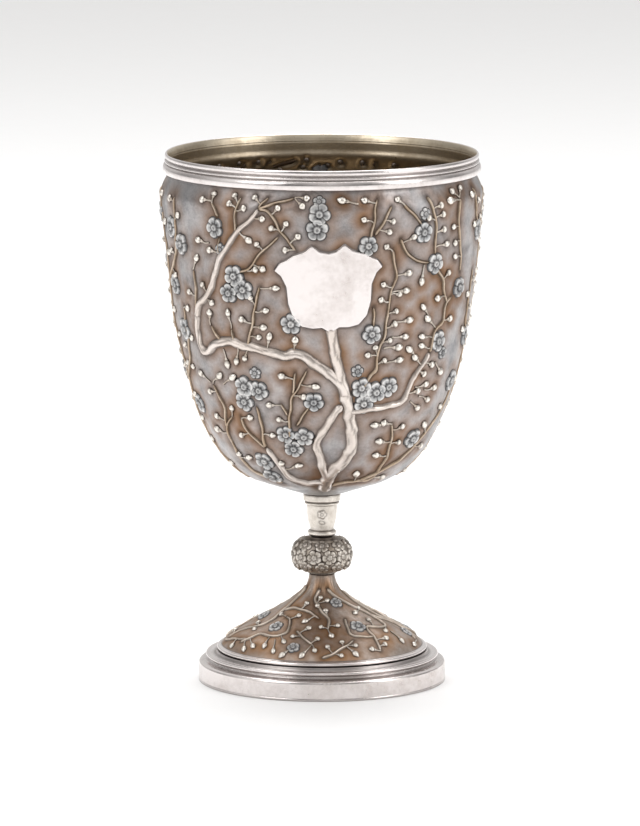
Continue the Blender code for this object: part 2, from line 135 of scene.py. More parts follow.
TWIGS = (
    (2.0, 1.2, ((-55.5, 156.6), (-54.5, 166.7), (-54.8, 171.4), (-55.2, 176.4))),
    (1.7, 1.0, ((-22.8, 204.3), (-19.1, 205.8), (-14.2, 207.6), (-9.8, 209.1))),
    (1.6, 1.0, ((-22.8, 204.3), (-19.4, 209))),
    (1.7, 1.0, ((-22.8, 204.3), (-19.4, 203.7), (-17.1, 200.1), (-14.7, 195.5), (-12, 191.5),
                (-9.2, 187.5))),
    (2.0, 0.9, ((-42.2, 147.6), (-47.9, 154.2))),
    (1.9, 0.9, ((-36.2, 148.6), (-37, 153.9))),
    (1.9, 1.1, ((-29.8, 146.1), (-29.3, 149.6), (-26.9, 158.4), (-25.6, 165), (-23.4, 172.6))),
    (1.6, 1.0, ((-39.5, 182.9), (-39.9, 186.9), (-39.6, 191.5))),
    (1.6, 1.0, ((-39.9, 199.7), (-42.9, 205.9))),
    (1.7, 1.0, ((-32, 177.6), (-27.6, 179.4), (-23.8, 184.5), (-19.4, 189.3), (-15.6, 193.2))),
    (1.7, 1.0, ((-31.9, 194), (-32.1, 201.4), (-30.2, 208.6))),
    (1.8, 1.1, ((17, 129.6), (20.1, 135.2), (22.2, 137.6), (22.2, 142), (23.1, 147.2), (24.6, 151.5),
                (25.3, 158.1), (25.6, 163.8), (26.2, 169.5), (26.7, 172.8))),
    (1.7, 1.1, ((40.7, 207.8), (43.6, 201.4), (45, 194.6), (45.3, 183.6))),
    (1.7, 1.1, ((58, 205.6), (58, 198.6), (58.9, 191.1), (61.2, 183.6), (62.3, 174.6))),
    (1.7, 1.1, ((47, 177.6), (50.7, 172.9), (52.2, 168), (55.3, 162))),
    (1.7, 1.1, ((47.7, 142.6), (49.5, 151.6), (53.6, 155.3), (54.4, 162.1), (57.8, 165))),
    (1.6, 1.0, ((29.2, 191.6), (31.3, 186.9), (34.3, 183.8), (37.4, 181.6), (43, 180.6))),
    (1.6, 1.0, ((30, 205.6), (32.5, 202.8), (36.5, 198.8), (39, 195.6))),
    (1.5, 1.0, ((19.3, 164.1), (20, 158.7), (19.6, 154.6))),
    (1.6, 1.0, ((26, 187.3), (27.2, 181.6), (28.1, 176), (26.5, 170.6))),
    (1.6, 1.0, ((17.4, 191.6), (18.7, 200), (19, 204.5), (20.2, 208.5))),
    (1.6, 1.0, ((19, 193.6), (22.8, 199.8), (25.3, 205.5))),
    (1.9, 1.1, ((-29.3, 103.8), (-29.8, 107.7), (-28.9, 114.5), (-30, 121.6))),
    (1.8, 1.1, ((-29.3, 103.8), (-34.3, 106.8), (-38.9, 111.6), (-39.6, 116.3))),
    (1.7, 1.0, ((-15.5, 108.6), (-15.1, 114.8), (-14.1, 120.1), (-12.9, 125.7), (-9.2, 131.8),
                (-6, 138.2))),
    (1.5, 0.9, ((-12.3, 127.6), (-10.8, 136.9))),
    (1.5, 0.9, ((-11.8, 113.9), (-7.9, 119.1), (-5, 123.6))),
    (1.5, 0.9, ((-15.3, 118), (-18.1, 123.5))),
    (2.1, 1.2, ((-31.3, 86.6), (-39.1, 88.6), (-50, 92), (-52.9, 101.7), (-51.8, 110.3), (-45.3, 115.7))),
    (1.8, 1.1, ((-51.8, 110.3), (-49.2, 119.9), (-53.2, 128.7))),
    (2.2, 1.2, ((6.3, 86.6), (12.9, 87.6), (27.2, 88.1), (35.1, 88.3), (37.7, 95), (37.3, 101.4),
                (36.3, 107.8), (34.1, 113.6))),
    (2.2, 1.2, ((27.2, 88.1), (39.6, 92.3), (48.6, 95.6), (54.8, 99.6), (61.3, 106), (67.1, 110.9),
                (73.6, 118.1), (77, 125.6))),
)
BLOSSOMS = (
    (-41.5, 195.2), (-33.9, 176), (-36.7, 168.7), (-30.3, 170.6), (-0.9, 202.7), (-1.7, 196.4),
    (-11.7, 157.4), (16.6, 189.5), (19.3, 152.8), (45.7, 179.9), (39, 193.4), (62.3, 168.1),
    (52.2, 147), (16.5, 130.3), (23.1, 128.2), (28.7, 130), (18, 123.5), (-34.1, 129.8),
    (-27.4, 128.5), (-35.5, 123.2), (-3.5, 124.6), (-17.3, 109.9), (-8.5, 109.3), (-14.3, 103.9),
    (-33.8, 97.1), (-34.4, 90.1), (51.2, 105.7),
)
HALF_BLOSSOMS = ((14.2, 137.6), (-28, 136), (-1, 207.6), (39.2, 201.1), (-39, 186.6), (56.5, 141.6))
BUDS = (
    (-47.4, 206), (-42.4, 208.2), (-34.3, 205.5), (-32.9, 208.6), (-29, 204), (-24.6, 208.6),
    (-22, 200.5), (-16, 204.6), (-7.1, 206.1), (-6, 209), (-17.8, 196.5), (-13, 198.2),
    (-8.9, 193.2), (-12.6, 188), (-23.6, 189.5), (-27, 191.3), (-44.4, 185.7), (-52.2, 181.6),
    (-16.9, 172.1), (-21.6, 162.5), (-27.2, 167), (-31.5, 158.1), (-22.4, 179.9), (-45.8, 164.1),
    (-23, 155.4), (-25.3, 151.2), (7, 208.2), (15.6, 207.9), (28.3, 207.4), (15.2, 200.1),
    (25.6, 199), (24.4, 194.8), (24, 188.4), (46.5, 203.7), (48.2, 199.9), (51.9, 205.1),
    (41.6, 199), (48.6, 193.6), (55, 194), (35, 192.1), (33.4, 177.3), (57.4, 181.5),
    (23.3, 173.1), (29.4, 168.8), (22.9, 166.8), (28.6, 161.8), (35.3, 157.7), (41.3, 162.5),
    (48.8, 165.3), (44.1, 157.4), (28.2, 156.3), (21.4, 146.6), (26.8, 149.6), (34.3, 150.8),
    (42.2, 150), (58.2, 155.6), (60.6, 209.1), (55, 208.2), (18.6, 144), (25.2, 141.2),
    (31.4, 146.6), (36.4, 145.3), (32.8, 141.2), (42.5, 146.2), (40, 141.4), (50.5, 137.4),
    (57.9, 133.4), (49.6, 129.2), (56.4, 127), (44.6, 126.9), (53.2, 122.2), (47.4, 119.2),
    (30.1, 114.4), (29.3, 106.3), (29.8, 100.2), (40.6, 112), (41.3, 104.9), (-41.4, 138.2),
    (-47.1, 133.1), (-39.5, 133.2), (-36.5, 140), (-32, 141.9), (-23.2, 122.6), (-34.8, 116.3),
    (-42.6, 108), (-19.4, 116.5), (-24.5, 109.4), (-2.5, 131.1), (-8.3, 126.8), (-44, 119.3),
    (-56.7, 114.8), (-61.8, 108.6), (-51.7, 98.2), (-60.9, 132.5), (-55.8, 125.4), (-20.5, 152),
    (-10.3, 150.6), (-16.3, 135.2), (-49.5, 170.6), (-59.4, 166.6), (-50.8, 189.2), (-47.5, 159.2),
    (-38, 160.6), (-25.4, 179.2), (32.8, 170.1), (39.4, 173), (53.8, 175), (57, 187.2),
    (51.5, 187.5), (24.6, 113.8), (45.8, 134.2), (64.6, 101.1), (57.2, 111), (68, 117.2),
    (-23.2, 96.6), (-12.9, 96.2), (8.3, 94.3), (21.9, 91.9), (45.5, 88.9), (-44.2, 97.9),
)

# Sides: twigs between the tree in front and the one behind, and what flowers on them
SIDE_TWIGS = (
    (2.3, 1.3, ((-76, 86), (-78, 92), (-84, 108), (-76, 130), (-82, 152), (-78, 178), (-86, 207))),
    (1.9, 1.1, ((-83, 148), (-96, 162), (-100, 184), (-108, 201))),
    (1.9, 1.1, ((-80, 168), (-68, 182), (-66, 205))),
    (1.7, 1.0, ((-77, 128), (-68, 140), (-66, 160))),
    (1.7, 1.0, ((-83, 108), (-94, 120), (-96, 142))),
    (2.1, 1.2, ((82, 86), (86, 92), (92, 110), (84, 132), (92, 156), (86, 182), (90, 207))),
    (1.8, 1.1, ((88, 140), (76, 152), (76, 174))),
    (1.8, 1.1, ((90, 160), (102, 174), (104, 198))),
    (1.7, 1.0, ((87, 186), (76, 194), (71, 208))),
    (1.7, 1.0, ((90, 118), (102, 128), (100, 146))),
)
SIDE_BLOSSOMS = (
    (-68, 150), (-70, 192), (-98, 174), (-90, 130), (78, 146), (98, 172), (78, 190), (-86, 196),
    (94, 196), (-72, 118), (72, 128), (104, 136), (-100, 100), (98, 100), (-62, 186), (-72, 168),
)
BACK_FILLING = (
    (1.8, 1.1, ((183.5, 157), (184, 168), (180, 180), (184, 194), (181, 207))),
    (1.7, 1.0, ((183.6, 166), (174, 176), (170, 190))),
    (1.7, 1.0, ((181, 178), (190, 186), (194, 200))),
)
BACK_BLOSSOMS = ((176, 163), (188, 176), (175, 186), (189, 194))

# Foot: twigs, blossoms and buds of the front half of its dome, repeated behind
FOOT_TWIGS = (
    (1.5, 1.0, ((-70.7, 39), (-68.8, 33.9), (-63.2, 29.9), (-62.3, 25.1), (-80, 21.6), (-84, 17.4))),
    (1.3, 0.9, ((-65.1, 29.9), (-45.6, 31.4), (-18.6, 30.6), (-3.7, 28.8))),
    (1.3, 0.9, ((-62.3, 18.4), (-56.7, 20.2), (-52.1, 22.3), (-40.9, 22.1), (-29.8, 24.1), (-37.2, 27.6), (-46.5, 28.4))),
    (1.2, 0.8, ((-85, 16.7), (-70.7, 18.8), (-57.7, 19.9))),
    (1.5, 1.0, ((18.6, 39), (37.2, 35.5), (57.7, 31.9), (69.8, 27.9), (65.1, 23.9), (44.6, 25.1), (40.9, 21.6), (38.1, 17.4))),
    (1.3, 0.9, ((69.8, 27.9), (87, 23.4), (80, 17.1))),
    (1.2, 0.8, ((27, 28.3), (23.2, 23.8), (32.6, 22.4), (41.9, 21.9))),
    (1.2, 0.8, ((-22.3, 24.6), (-14.9, 22.9), (-6.5, 20.6))),
    (1.2, 0.8, ((0, 16.1), (6.5, 17.6), (12.1, 19.1), (23.2, 21.6))),
    (1.3, 0.9, ((-9.3, 39), (-14.9, 35), (-3.7, 31.9), (7.4, 28.9), (5.6, 25.4))),
    (1.3, 0.9, ((92, 37), (98, 29.9), (92, 22.9), (97, 17.4))),
)
FOOT_BLOSSOMS = ((-45.6, 25.1, 3.1), (35.3, 25.6, 3.4), (28.8, 33.6, 2.6), (-18.6, 19.4, 2.6), (82, 20.3, 2.8), (-86, 26.4, 2.8))
FOOT_BUDS = (
    (5.6, 30.9), (-12.1, 25.6), (-22.3, 22.8), (-27, 20.9), (-3.7, 22.2), (-4.7, 18.8), (-12.1, 16.8), (-30.7, 17.6),
    (-24.2, 16.5), (-47.4, 18.2), (-39.1, 18.9), (-53, 16.6), (0, 25.9), (14.9, 26.3), (7.4, 23.3), (14, 21.1),
    (3.7, 19.8), (11.2, 16.9), (20.5, 17.1), (32.6, 18.2), (43.7, 19.1), (50.2, 20.8), (58.6, 22.9), (61.4, 18.8),
    (22.3, 19.9), (-30.7, 29.1), (-7.4, 32.6), (-29.8, 33.2), (-65.1, 22.9), (-72.5, 24.6), (-55.8, 28.6), (-90, 19.9),
    (48.4, 29.6), (55.8, 26.9), (65.1, 30.4), (-3.7, 35.4), (11.2, 34.5), (-18.6, 27.6), (-67, 16.6), (70.7, 16.5),
)

# Knop: rings of small blossoms, (height, how many, their radius)
KNOP_RINGS = ((57.2, 9, 2.9), (52.6, 12, 3.1), (48.2, 10, 2.8))


class Wall:
    """A turned wall: its radius and height tabled against the length up its profile.

    A place on it is an angle round from the front and a length up the profile. `lift` is how far the
    raised ground stands off the plain wall there, and raised work follows it.
    """

    def __init__(self, radii, heights):
        self.radii = np.asarray(radii, float) * MM
        self.heights = np.asarray(heights, float) * MM
        steps = np.hypot(np.diff(self.radii), np.diff(self.heights))
        self.lengths = np.concatenate(([0.0], np.cumsum(steps)))
        slope_r = np.gradient(self.radii, self.lengths)
        slope_z = np.gradient(self.heights, self.lengths)
        size = np.hypot(slope_r, slope_z)
        self.normal_r = slope_z / size
        self.normal_z = -slope_r / size
        self.lift = None

    def radius(self, along):
        return np.interp(along, self.lengths, self.radii)

    def at_height(self, millimetres):
        return np.interp(np.asarray(millimetres, float) * MM, self.heights, self.lengths)

    def place(self, angle, along, proud):
        """Point on the wall, moved out along its normal by how proud it stands."""
        reach = self.radius(along) + np.interp(along, self.lengths, self.normal_r) * proud
        height = np.interp(along, self.lengths, self.heights)
        height = height + np.interp(along, self.lengths, self.normal_z) * proud
        return np.stack((reach * np.sin(angle), -reach * np.cos(angle), height + 0.0 * angle), axis=-1)

    def place_raised(self, angle, along, proud):
        """The same on top of the raised ground."""
        ground = 0.0 if self.lift is None else self.lift(angle, along)
        return self.place(angle, along, proud + ground)


def ease(value, low, high):
    """Smooth step from 0 at low to 1 at high."""
    share = np.clip((value - low) / (high - low), 0.0, 1.0)
    return share * share * (3.0 - 2.0 * share)


def bump(distance, width):
    """Bell curve: 1 at no distance, 1/e at one width."""
    return np.exp(-(distance / width) ** 2)


def bowl_wall():
    """The bowl's outside: a cone up from its seat, a superellipse, a shoulder and a straight neck."""
    heights = np.concatenate((np.linspace(BOWL_BOTTOM, 90.0, 60), np.linspace(90.3, BOWL_EDGE, 300)))
    depth = np.clip((BOWL_CENTRE - heights) / (BOWL_CENTRE - BOWL_FLOOR), 0.0, 1.0)
    radii = BOWL_RADIUS * (1.0 - depth ** BOWL_FULLNESS) ** (1.0 / BOWL_ROUNDNESS)
    seat = np.interp(heights, (BOWL_BOTTOM, 80.6, 84.0), (8.5, 15.75, 25.7))
    radii = np.where(heights < 84.0, seat, radii)
    shoulder = np.interp(SHOULDER_HEIGHT, heights, radii)
    share = ease(heights, SHOULDER_HEIGHT, NECK_BOTTOM)
    radii = np.where(heights > SHOULDER_HEIGHT, shoulder * (1.0 - share) + NECK_RADIUS * share, radii)
    return Wall(radii, heights)


def dome_wall():
    heights = np.linspace(DOME_HEIGHTS[0], DOME_HEIGHTS[-1], 160)
    radii = np.interp(heights, DOME_HEIGHTS, DOME_RADII)
    soft = np.convolve(np.pad(radii, 6, mode="edge"), np.ones(13) / 13.0, mode="valid")
    radii[6:-6] = soft[6:-6]
    return Wall(radii, heights)


def knop_wall():
    heights = np.linspace(KNOP_BOTTOM + 0.35, KNOP_TOP - 0.75, 120)
    middle = 0.5 * (KNOP_TOP + KNOP_BOTTOM)
    half = 0.5 * (KNOP_TOP - KNOP_BOTTOM)
    share = np.abs(heights - middle) / half
    radii = KNOP_RADIUS * (1.0 - share ** KNOP_FULLNESS) ** (1.0 / KNOP_FULLNESS)
    return Wall(radii, heights)


class ReliefMap:
    """Distance from the edge of raised work, on a grid unrolled from a wall.

    Cells that hold a sample start at minus its radius; each round then lets every cell take its
    neighbours' distance plus the step between them, if that is less.
    """

    def __init__(self, wall, columns, cell, rounds):
        self.wall = wall
        self.columns = columns
        self.rows = int(wall.lengths[-1] / cell) + 2
        self.along = np.linspace(0.0, wall.lengths[-1], self.rows)
        self.cells = np.full((self.rows, columns), 1.0)
        self.rounds = rounds

    def add(self, angle, along, radius):
        row = np.clip(np.rint(along / self.along[1]).astype(int), 0, self.rows - 1)
        column = np.rint(angle / TURN * self.columns).astype(int) % self.columns
        np.minimum.at(self.cells, (row, column), -radius + 0.0 * angle)

    def spread(self):
        across = TURN / self.columns * self.wall.radius(self.along)[:, None]
        up = self.along[1]
        for _ in range(self.rounds):
            for rows in (-1, 0, 1):
                for columns in (-1, 0, 1):
                    if rows == 0 and columns == 0:
                        continue
                    moved = np.roll(self.cells, (rows, columns), axis=(0, 1))
                    if rows:
                        moved[0 if rows > 0 else -1] = 1.0
                    step = np.hypot(across * columns, up * rows)
                    self.cells = np.minimum(self.cells, moved + step)
        return self

    def read(self, angle, along):
        """Distance at any places, straight between the four cells around each."""
        row = np.clip(along / self.along[1], 0.0, self.rows - 1.001)
        column = (angle / TURN * self.columns) % self.columns
        i = row.astype(int)
        j = column.astype(int) % self.columns
        k = (j + 1) % self.columns
        up = row - i
        across = column - np.floor(column)
        below = self.cells[i, j] * (1.0 - across) + self.cells[i, k] * across
        above = self.cells[i + 1, j] * (1.0 - across) + self.cells[i + 1, k] * across
        return below * (1.0 - up) + above * up


def billows(angle, along):
    """Soft uneven ground, -1 to 1: twelve waves at odd slants, whole turns round the wall."""
    rng = np.random.default_rng(7)
    total = 0.0 * (angle + along)
    for _ in range(12):
        turns = rng.integers(-48, 48)
        length = rng.uniform(7.0, 15.0) * MM
        total = total + np.sin(turns * angle + TURN * along / length + rng.uniform(0.0, TURN))
    return total / 6.0


def grid_quads(rows, around, closed):
    """Corners of the quads between neighbouring rows of points, each row closed on itself."""
    i = np.arange(rows if closed else rows - 1)[:, None]
    j = np.arange(around)[None, :]
    right = (j + 1) % around
    above = (i + 1) % rows
    corners = (i * around + j, i * around + right, above * around + right, above * around + j)
    return np.stack(np.broadcast_arrays(*corners), axis=-1).reshape(-1, 4)


def enclosed(points, quads, triangles):
    """Signed volume inside the faces, six times over."""
    faces = [triangles, quads[:, (0, 1, 2)], quads[:, (0, 2, 3)]]
    total = 0.0
    for face in faces:
        a, b, c = (points[face[:, k]] for k in range(3))
        total += float(np.sum(a * np.cross(b, c)))
    return total


def tube(rows, poles, shades, tone=0):
    """Close rows of points, (rows, around, 3), into a solid that faces outwards.

    With two poles a fan of triangles closes each end; with none the last row joins the first.
    shades holds (painted shade, painted highlight, brown tarnish) for every point, and tone picks the material.
    """
    count, around = rows.shape[:2]
    quads = grid_quads(count, around, poles is None)
    points = rows.reshape(-1, 3)
    marks = np.broadcast_to(shades, (count, around, 3)).reshape(-1, 3)
    triangles = np.zeros((0, 3), int)
    if poles is not None:
        points = np.vstack((points, poles))
        marks = np.vstack((marks, marks[0], marks[-1]))
        near = np.arange(around)
        far = (near + 1) % around
        last = (count - 1) * around
        first_fan = np.stack((far, near, np.full(around, count * around)), axis=-1)
        last_fan = np.stack((last + near, last + far, np.full(around, count * around + 1)), axis=-1)
        triangles = np.vstack((first_fan, last_fan))
    if enclosed(points - points.mean(axis=0), quads, triangles) < 0.0:
        quads = quads[:, ::-1]
        triangles = triangles[:, ::-1]
    tones = np.broadcast_to(tone, (len(quads),)) if np.ndim(tone) == 0 else tone
    return {"points": points, "quads": quads, "triangles": triangles, "shades": marks, "tones": tones}


def make_piece(name, tubes, materials, node):
    """One mesh from closed tubes, with its marks of painted shade, painted highlight and tarnish, riding where its CAD
    node was.
    """
    starts = np.cumsum([0] + [len(t["points"]) for t in tubes[:-1]])
    points = np.vstack([t["points"] for t in tubes])
    quads = np.vstack([t["quads"] + start for t, start in zip(tubes, starts)])
    triangles = np.vstack([t["triangles"] + start for t, start in zip(tubes, starts)])
    shades = np.vstack([t["shades"] for t in tubes])
    tones = np.concatenate([t["tones"] for t in tubes] + [np.zeros(len(triangles), int)])
    mesh = bpy.data.meshes.new(name)
    mesh.vertices.add(len(points))
    mesh.vertices.foreach_set("co", points.astype(np.float32).ravel())
    mesh.loops.add(quads.size + triangles.size)
    mesh.loops.foreach_set("vertex_index", np.concatenate((quads.ravel(), triangles.ravel())).astype(np.int32))
    sizes = np.concatenate((np.full(len(quads), 4), np.full(len(triangles), 3)))
    mesh.polygons.add(len(sizes))
    mesh.polygons.foreach_set("loop_start", (np.cumsum(sizes) - sizes).astype(np.int32))
    mesh.polygons.foreach_set("material_index", tones.astype(np.int32))
    mesh.update(calc_edges=True)
    mesh.polygons.foreach_set("use_smooth", np.ones(len(sizes), bool))
    # Per point: painted shade, painted highlight, brown tarnish.
    marks = mesh.attributes.new("painted_light_and_tarnish", "FLOAT_COLOR", "POINT")
    colours = np.column_stack((np.clip(shades, 0.0, 1.0), np.ones(len(shades))))
    marks.data.foreach_set("color", colours.astype(np.float32).ravel())
    for material in materials:
        mesh.materials.append(material)
    piece = bpy.data.objects.new(name, mesh)
    bpy.context.scene.collection.objects.link(piece)
    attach(piece, "root")
    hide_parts(node)
    return piece


def curve_on(wall, route, step):
    """Catmull-Rom curve through a route's places, as angles and lengths one step apart."""
    route = np.array(route, float)
    knots = np.column_stack((np.radians(route[:, 0]), wall.at_height(route[:, 1])))
    ends = np.vstack((2.0 * knots[0] - knots[1], knots, 2.0 * knots[-1] - knots[-2]))
    before, start, after, beyond = ends[:-3], ends[1:-2], ends[2:-1], ends[3:]
    t = np.linspace(0.0, 1.0, 24, endpoint=False)[:, None, None]
    curve = 0.5 * (
        2.0 * start + (after - before) * t
        + (2.0 * before - 5.0 * start + 4.0 * after - beyond) * t ** 2
        + (3.0 * start - before - 3.0 * after + beyond) * t ** 3)
    curve = np.vstack((curve.transpose(1, 0, 2).reshape(-1, 2), knots[-1:]))
    across = np.diff(curve[:, 0]) * wall.radius(curve[1:, 1])
    length = np.concatenate(([0.0], np.cumsum(np.hypot(across, np.diff(curve[:, 1])))))
    at = np.linspace(0.0, length[-1], max(5, int(length[-1] / step)) + 1)
    return np.interp(at, length, curve[:, 0]), np.interp(at, length, curve[:, 1]), at


# Cross section of a branch: share of half its width, share of its height
SECTION_ANGLES = np.radians(np.linspace(-90.0, 90.0, 9))
SECTION_ACROSS = np.sin(SECTION_ANGLES)
SECTION_UP = np.cos(SECTION_ANGLES) ** 0.8
# The skirt: a thin dark ring round the raised work, painted shade where it meets the ground.
SKIRT = 0.4 * MM


def branch(wall, width, tip_width, route, proud, rng):
    """Loft a domed section along a route: knots swell it, furrows mark it, and its tip tapers."""
    angle, along, at = curve_on(wall, route, 1.0 * MM)
    sway = np.sin(TURN * at / rng.uniform(9.0, 14.0) / MM + rng.uniform(0.0, TURN))
    sway = sway * 0.25 * MM * np.sin(math.pi * at / at[-1])
    radius = wall.radius(along)
    ahead_u = np.gradient(angle) * radius
    ahead_v = np.gradient(along)
    size = np.hypot(ahead_u, ahead_v)
    across_u, across_v = ahead_v / size, -ahead_u / size
    share = at / at[-1]
    half = 0.5 * MM * (width + (tip_width - width) * share)
    height = proud * MM * (1.0 - 0.3 * share)
    first = rng.uniform(2.0, 6.0) * MM
    gaps = rng.uniform(6.0, 11.0, 24) * MM
    for knot in first + np.cumsum(gaps):
        swelling = bump(at - knot, 1.1 * MM)
        half = half * (1.0 + 0.22 * swelling)
        height = height * (1.0 + 0.12 * swelling)
    tip = np.clip((at[-1] - at) / (1.6 * MM), 0.0, 1.0) ** 0.5
    root = np.clip(at / (0.8 * MM), 0.0, 1.0) ** 0.5
    half = half * (0.15 + 0.85 * tip * root)
    height = height * tip * root
    slant = rng.uniform(0.0, TURN)
    furrow = np.sin(3.2 * SECTION_ANGLES[None, :] + 1.7 * np.sin(TURN * at[:, None] / (17 * MM) + slant))
    furrow = np.clip(furrow - 0.45, 0.0, 1.0) * min(1.0, max(0.0, (width - 1.8) / 2.0))
    ripple = 1.0 + 0.05 * np.sin(TURN * at[:, None] / (3.1 * MM) + 2.0 * SECTION_ANGLES[None, :] + slant)
    x = half[:, None] * SECTION_ACROSS[None, :]
    y = height[:, None] * SECTION_UP[None, :] * ripple * (1.0 - 0.42 * furrow)
    edge = half + SKIRT * tip
    low = -SINK * MM + 0.0 * half
    thin = 0.05 * MM + 0.0 * half
    x = np.column_stack((-edge, -edge, x, edge, edge)) + sway[:, None]
    y = np.column_stack((low, thin, y, thin, low))
    angles = angle[:, None] + x * across_u[:, None] / radius[:, None]
    alongs = along[:, None] + x * across_v[:, None]
    rows = wall.place_raised(angles, alongs, y)
    # Painted highlight along the top of the section; painted shade on its sides, in its furrows and on its skirt.
    high = np.column_stack((0 * half, 0 * half, 0 * furrow + np.cos(SECTION_ANGLES) ** 0.5, 0 * half, 0 * half))
    painted_shade = np.column_stack((1 + 0 * half, 1 + 0 * half, np.clip(1.5 * furrow, 0.0, 1.0), 1 + 0 * half, 1 + 0 * half))
    painted_shade[:, 2] = painted_shade[:, -3] = 0.75
    painted_shade[:, 3] = painted_shade[:, -4] = 0.25
    shades = np.stack((painted_shade, high, 0.35 + 0.0 * high), axis=-1)
    poles = wall.place_raised(angle[[0, -1]], along[[0, -1]], np.full(2, -0.3 * SINK * MM))
    return tube(rows, poles, shades)


def blossom(wall, degrees, height, radius, turn, stand, fine=True):
    """Five cupped petals round a ring boss.

    The outline is the radius times 0.74 + 0.26 |cos 2.5 a|^0.55. The height is a low dome plus a
    ridge inside the outline, less a groove between petals, a pit in each and a ditch round the boss.
    """
    size = radius / 4.4
    reach = np.array((0.09, 0.17, 0.25, 0.33, 0.41, 0.49, 0.57, 0.66, 0.75, 0.83, 0.89, 0.95, 1.0))
    corners = 50
    if not fine:
        reach = reach[::2]
        corners = 30
    phi = np.linspace(0.0, TURN, corners, endpoint=False)
    outline = radius * (0.74 + 0.26 * np.abs(np.cos(2.5 * phi)) ** 0.55)
    rho = reach[:, None] * outline[None, :]
    petal = (phi + TURN / 10.0) % (TURN / 5.0) - TURN / 10.0
    cleft = phi % (TURN / 5.0) - TURN / 10.0
    groove = bump(rho * np.sin(cleft), 0.28 * size) * ease(reach, 0.28, 0.5)[:, None]
    pit = bump(np.hypot(rho * np.cos(petal) - 0.47 * radius, rho * np.sin(petal)), 0.62 * size)
    ridge = bump(reach - 0.87, 0.09)[:, None] + 0.0 * rho
    boss = bump(rho - 0.85 * size, 0.34 * size)
    ditch = bump(rho - 1.6 * size, 0.3 * size)
    dot = bump(rho, 0.4 * size)
    proud = 0.92 - 0.22 * reach[:, None] ** 2 + 0.2 * ridge - 0.45 * groove - 0.45 * pit
    proud = proud + 0.42 * boss - 0.2 * ditch - 0.3 * dot
    proud[-1] = 0.34
    proud = (proud * max(size, 0.75) + stand) * MM
    # The skirt: a thin dark ring, painted shade round the flower.
    skirt = np.stack((outline + 0.06, outline + 0.45, outline + 0.45))
    skirt_up = np.array((0.05, 0.03, -SINK))[:, None] * MM + 0.0 * skirt
    rho = np.vstack((rho, skirt)) * MM
    proud = np.vstack((proud, skirt_up))
    # Painted highlight on the ridge and boss; painted shade in the grooves, pits, ditch and middle dot.
    high = np.vstack((np.clip(ridge + boss, 0.0, 1.0) * (1.0 - groove), 0.0 * skirt))
    painted_shade = np.vstack((np.clip(groove + 0.9 * pit + 0.8 * ditch + 0.8 * dot, 0.0, 1.0), 1.0 + 0.0 * skirt))
    facing = phi + math.radians(turn)
    middle = wall.at_height(height)
    angles = math.radians(degrees) + rho * np.cos(facing) / wall.radius(middle)
    alongs = middle + rho * np.sin(facing)
    rows = wall.place_raised(angles, alongs, proud)
    centre_up = np.array((proud[0].mean() - 0.05 * MM, -SINK * MM))
    poles = wall.place_raised(np.full(2, math.radians(degrees)), np.full(2, middle), centre_up)
    shades = np.stack((painted_shade, high, 0.15 + 0.0 * high), axis=-1)
    return tube(rows, poles, shades)


# A bud on its stalk: share of the way along it, radius in millimetres, and height of its middle
BUD_AT = np.array((0.0, 0.12, 0.26, 0.4, 0.47, 0.52, 0.56, 0.6, 0.66, 0.74, 0.82, 0.9, 0.96))
BUD_RADIUS = np.array((0.34, 0.3, 0.28, 0.3, 0.55, 0.7, 0.62, 0.86, 1.16, 1.3, 1.18, 0.82, 0.4))
BUD_UP = np.array((0.15, 0.2, 0.22, 0.22, 0.2, 0.2, 0.2, 0.18, 0.15, 0.15, 0.15, 0.15, 0.15))
# Painted shade and painted highlight along it, 0 to 1
BUD_PAINTED_SHADE = np.array((0.3, 0.3, 0.35, 0.35, 0.2, 0.3, 0.9, 0.5, 0.0, 0.0, 0.0, 0.05, 0.1))
BUD_PAINTED_HIGHLIGHT = np.array((0.0, 0.0, 0.0, 0.1, 0.3, 0.3, 0.1, 0.5, 0.95, 1.0, 1.0, 1.0, 1.0))
BUD_ROUND = np.radians(np.arange(0.0, 360.0, 36.0))


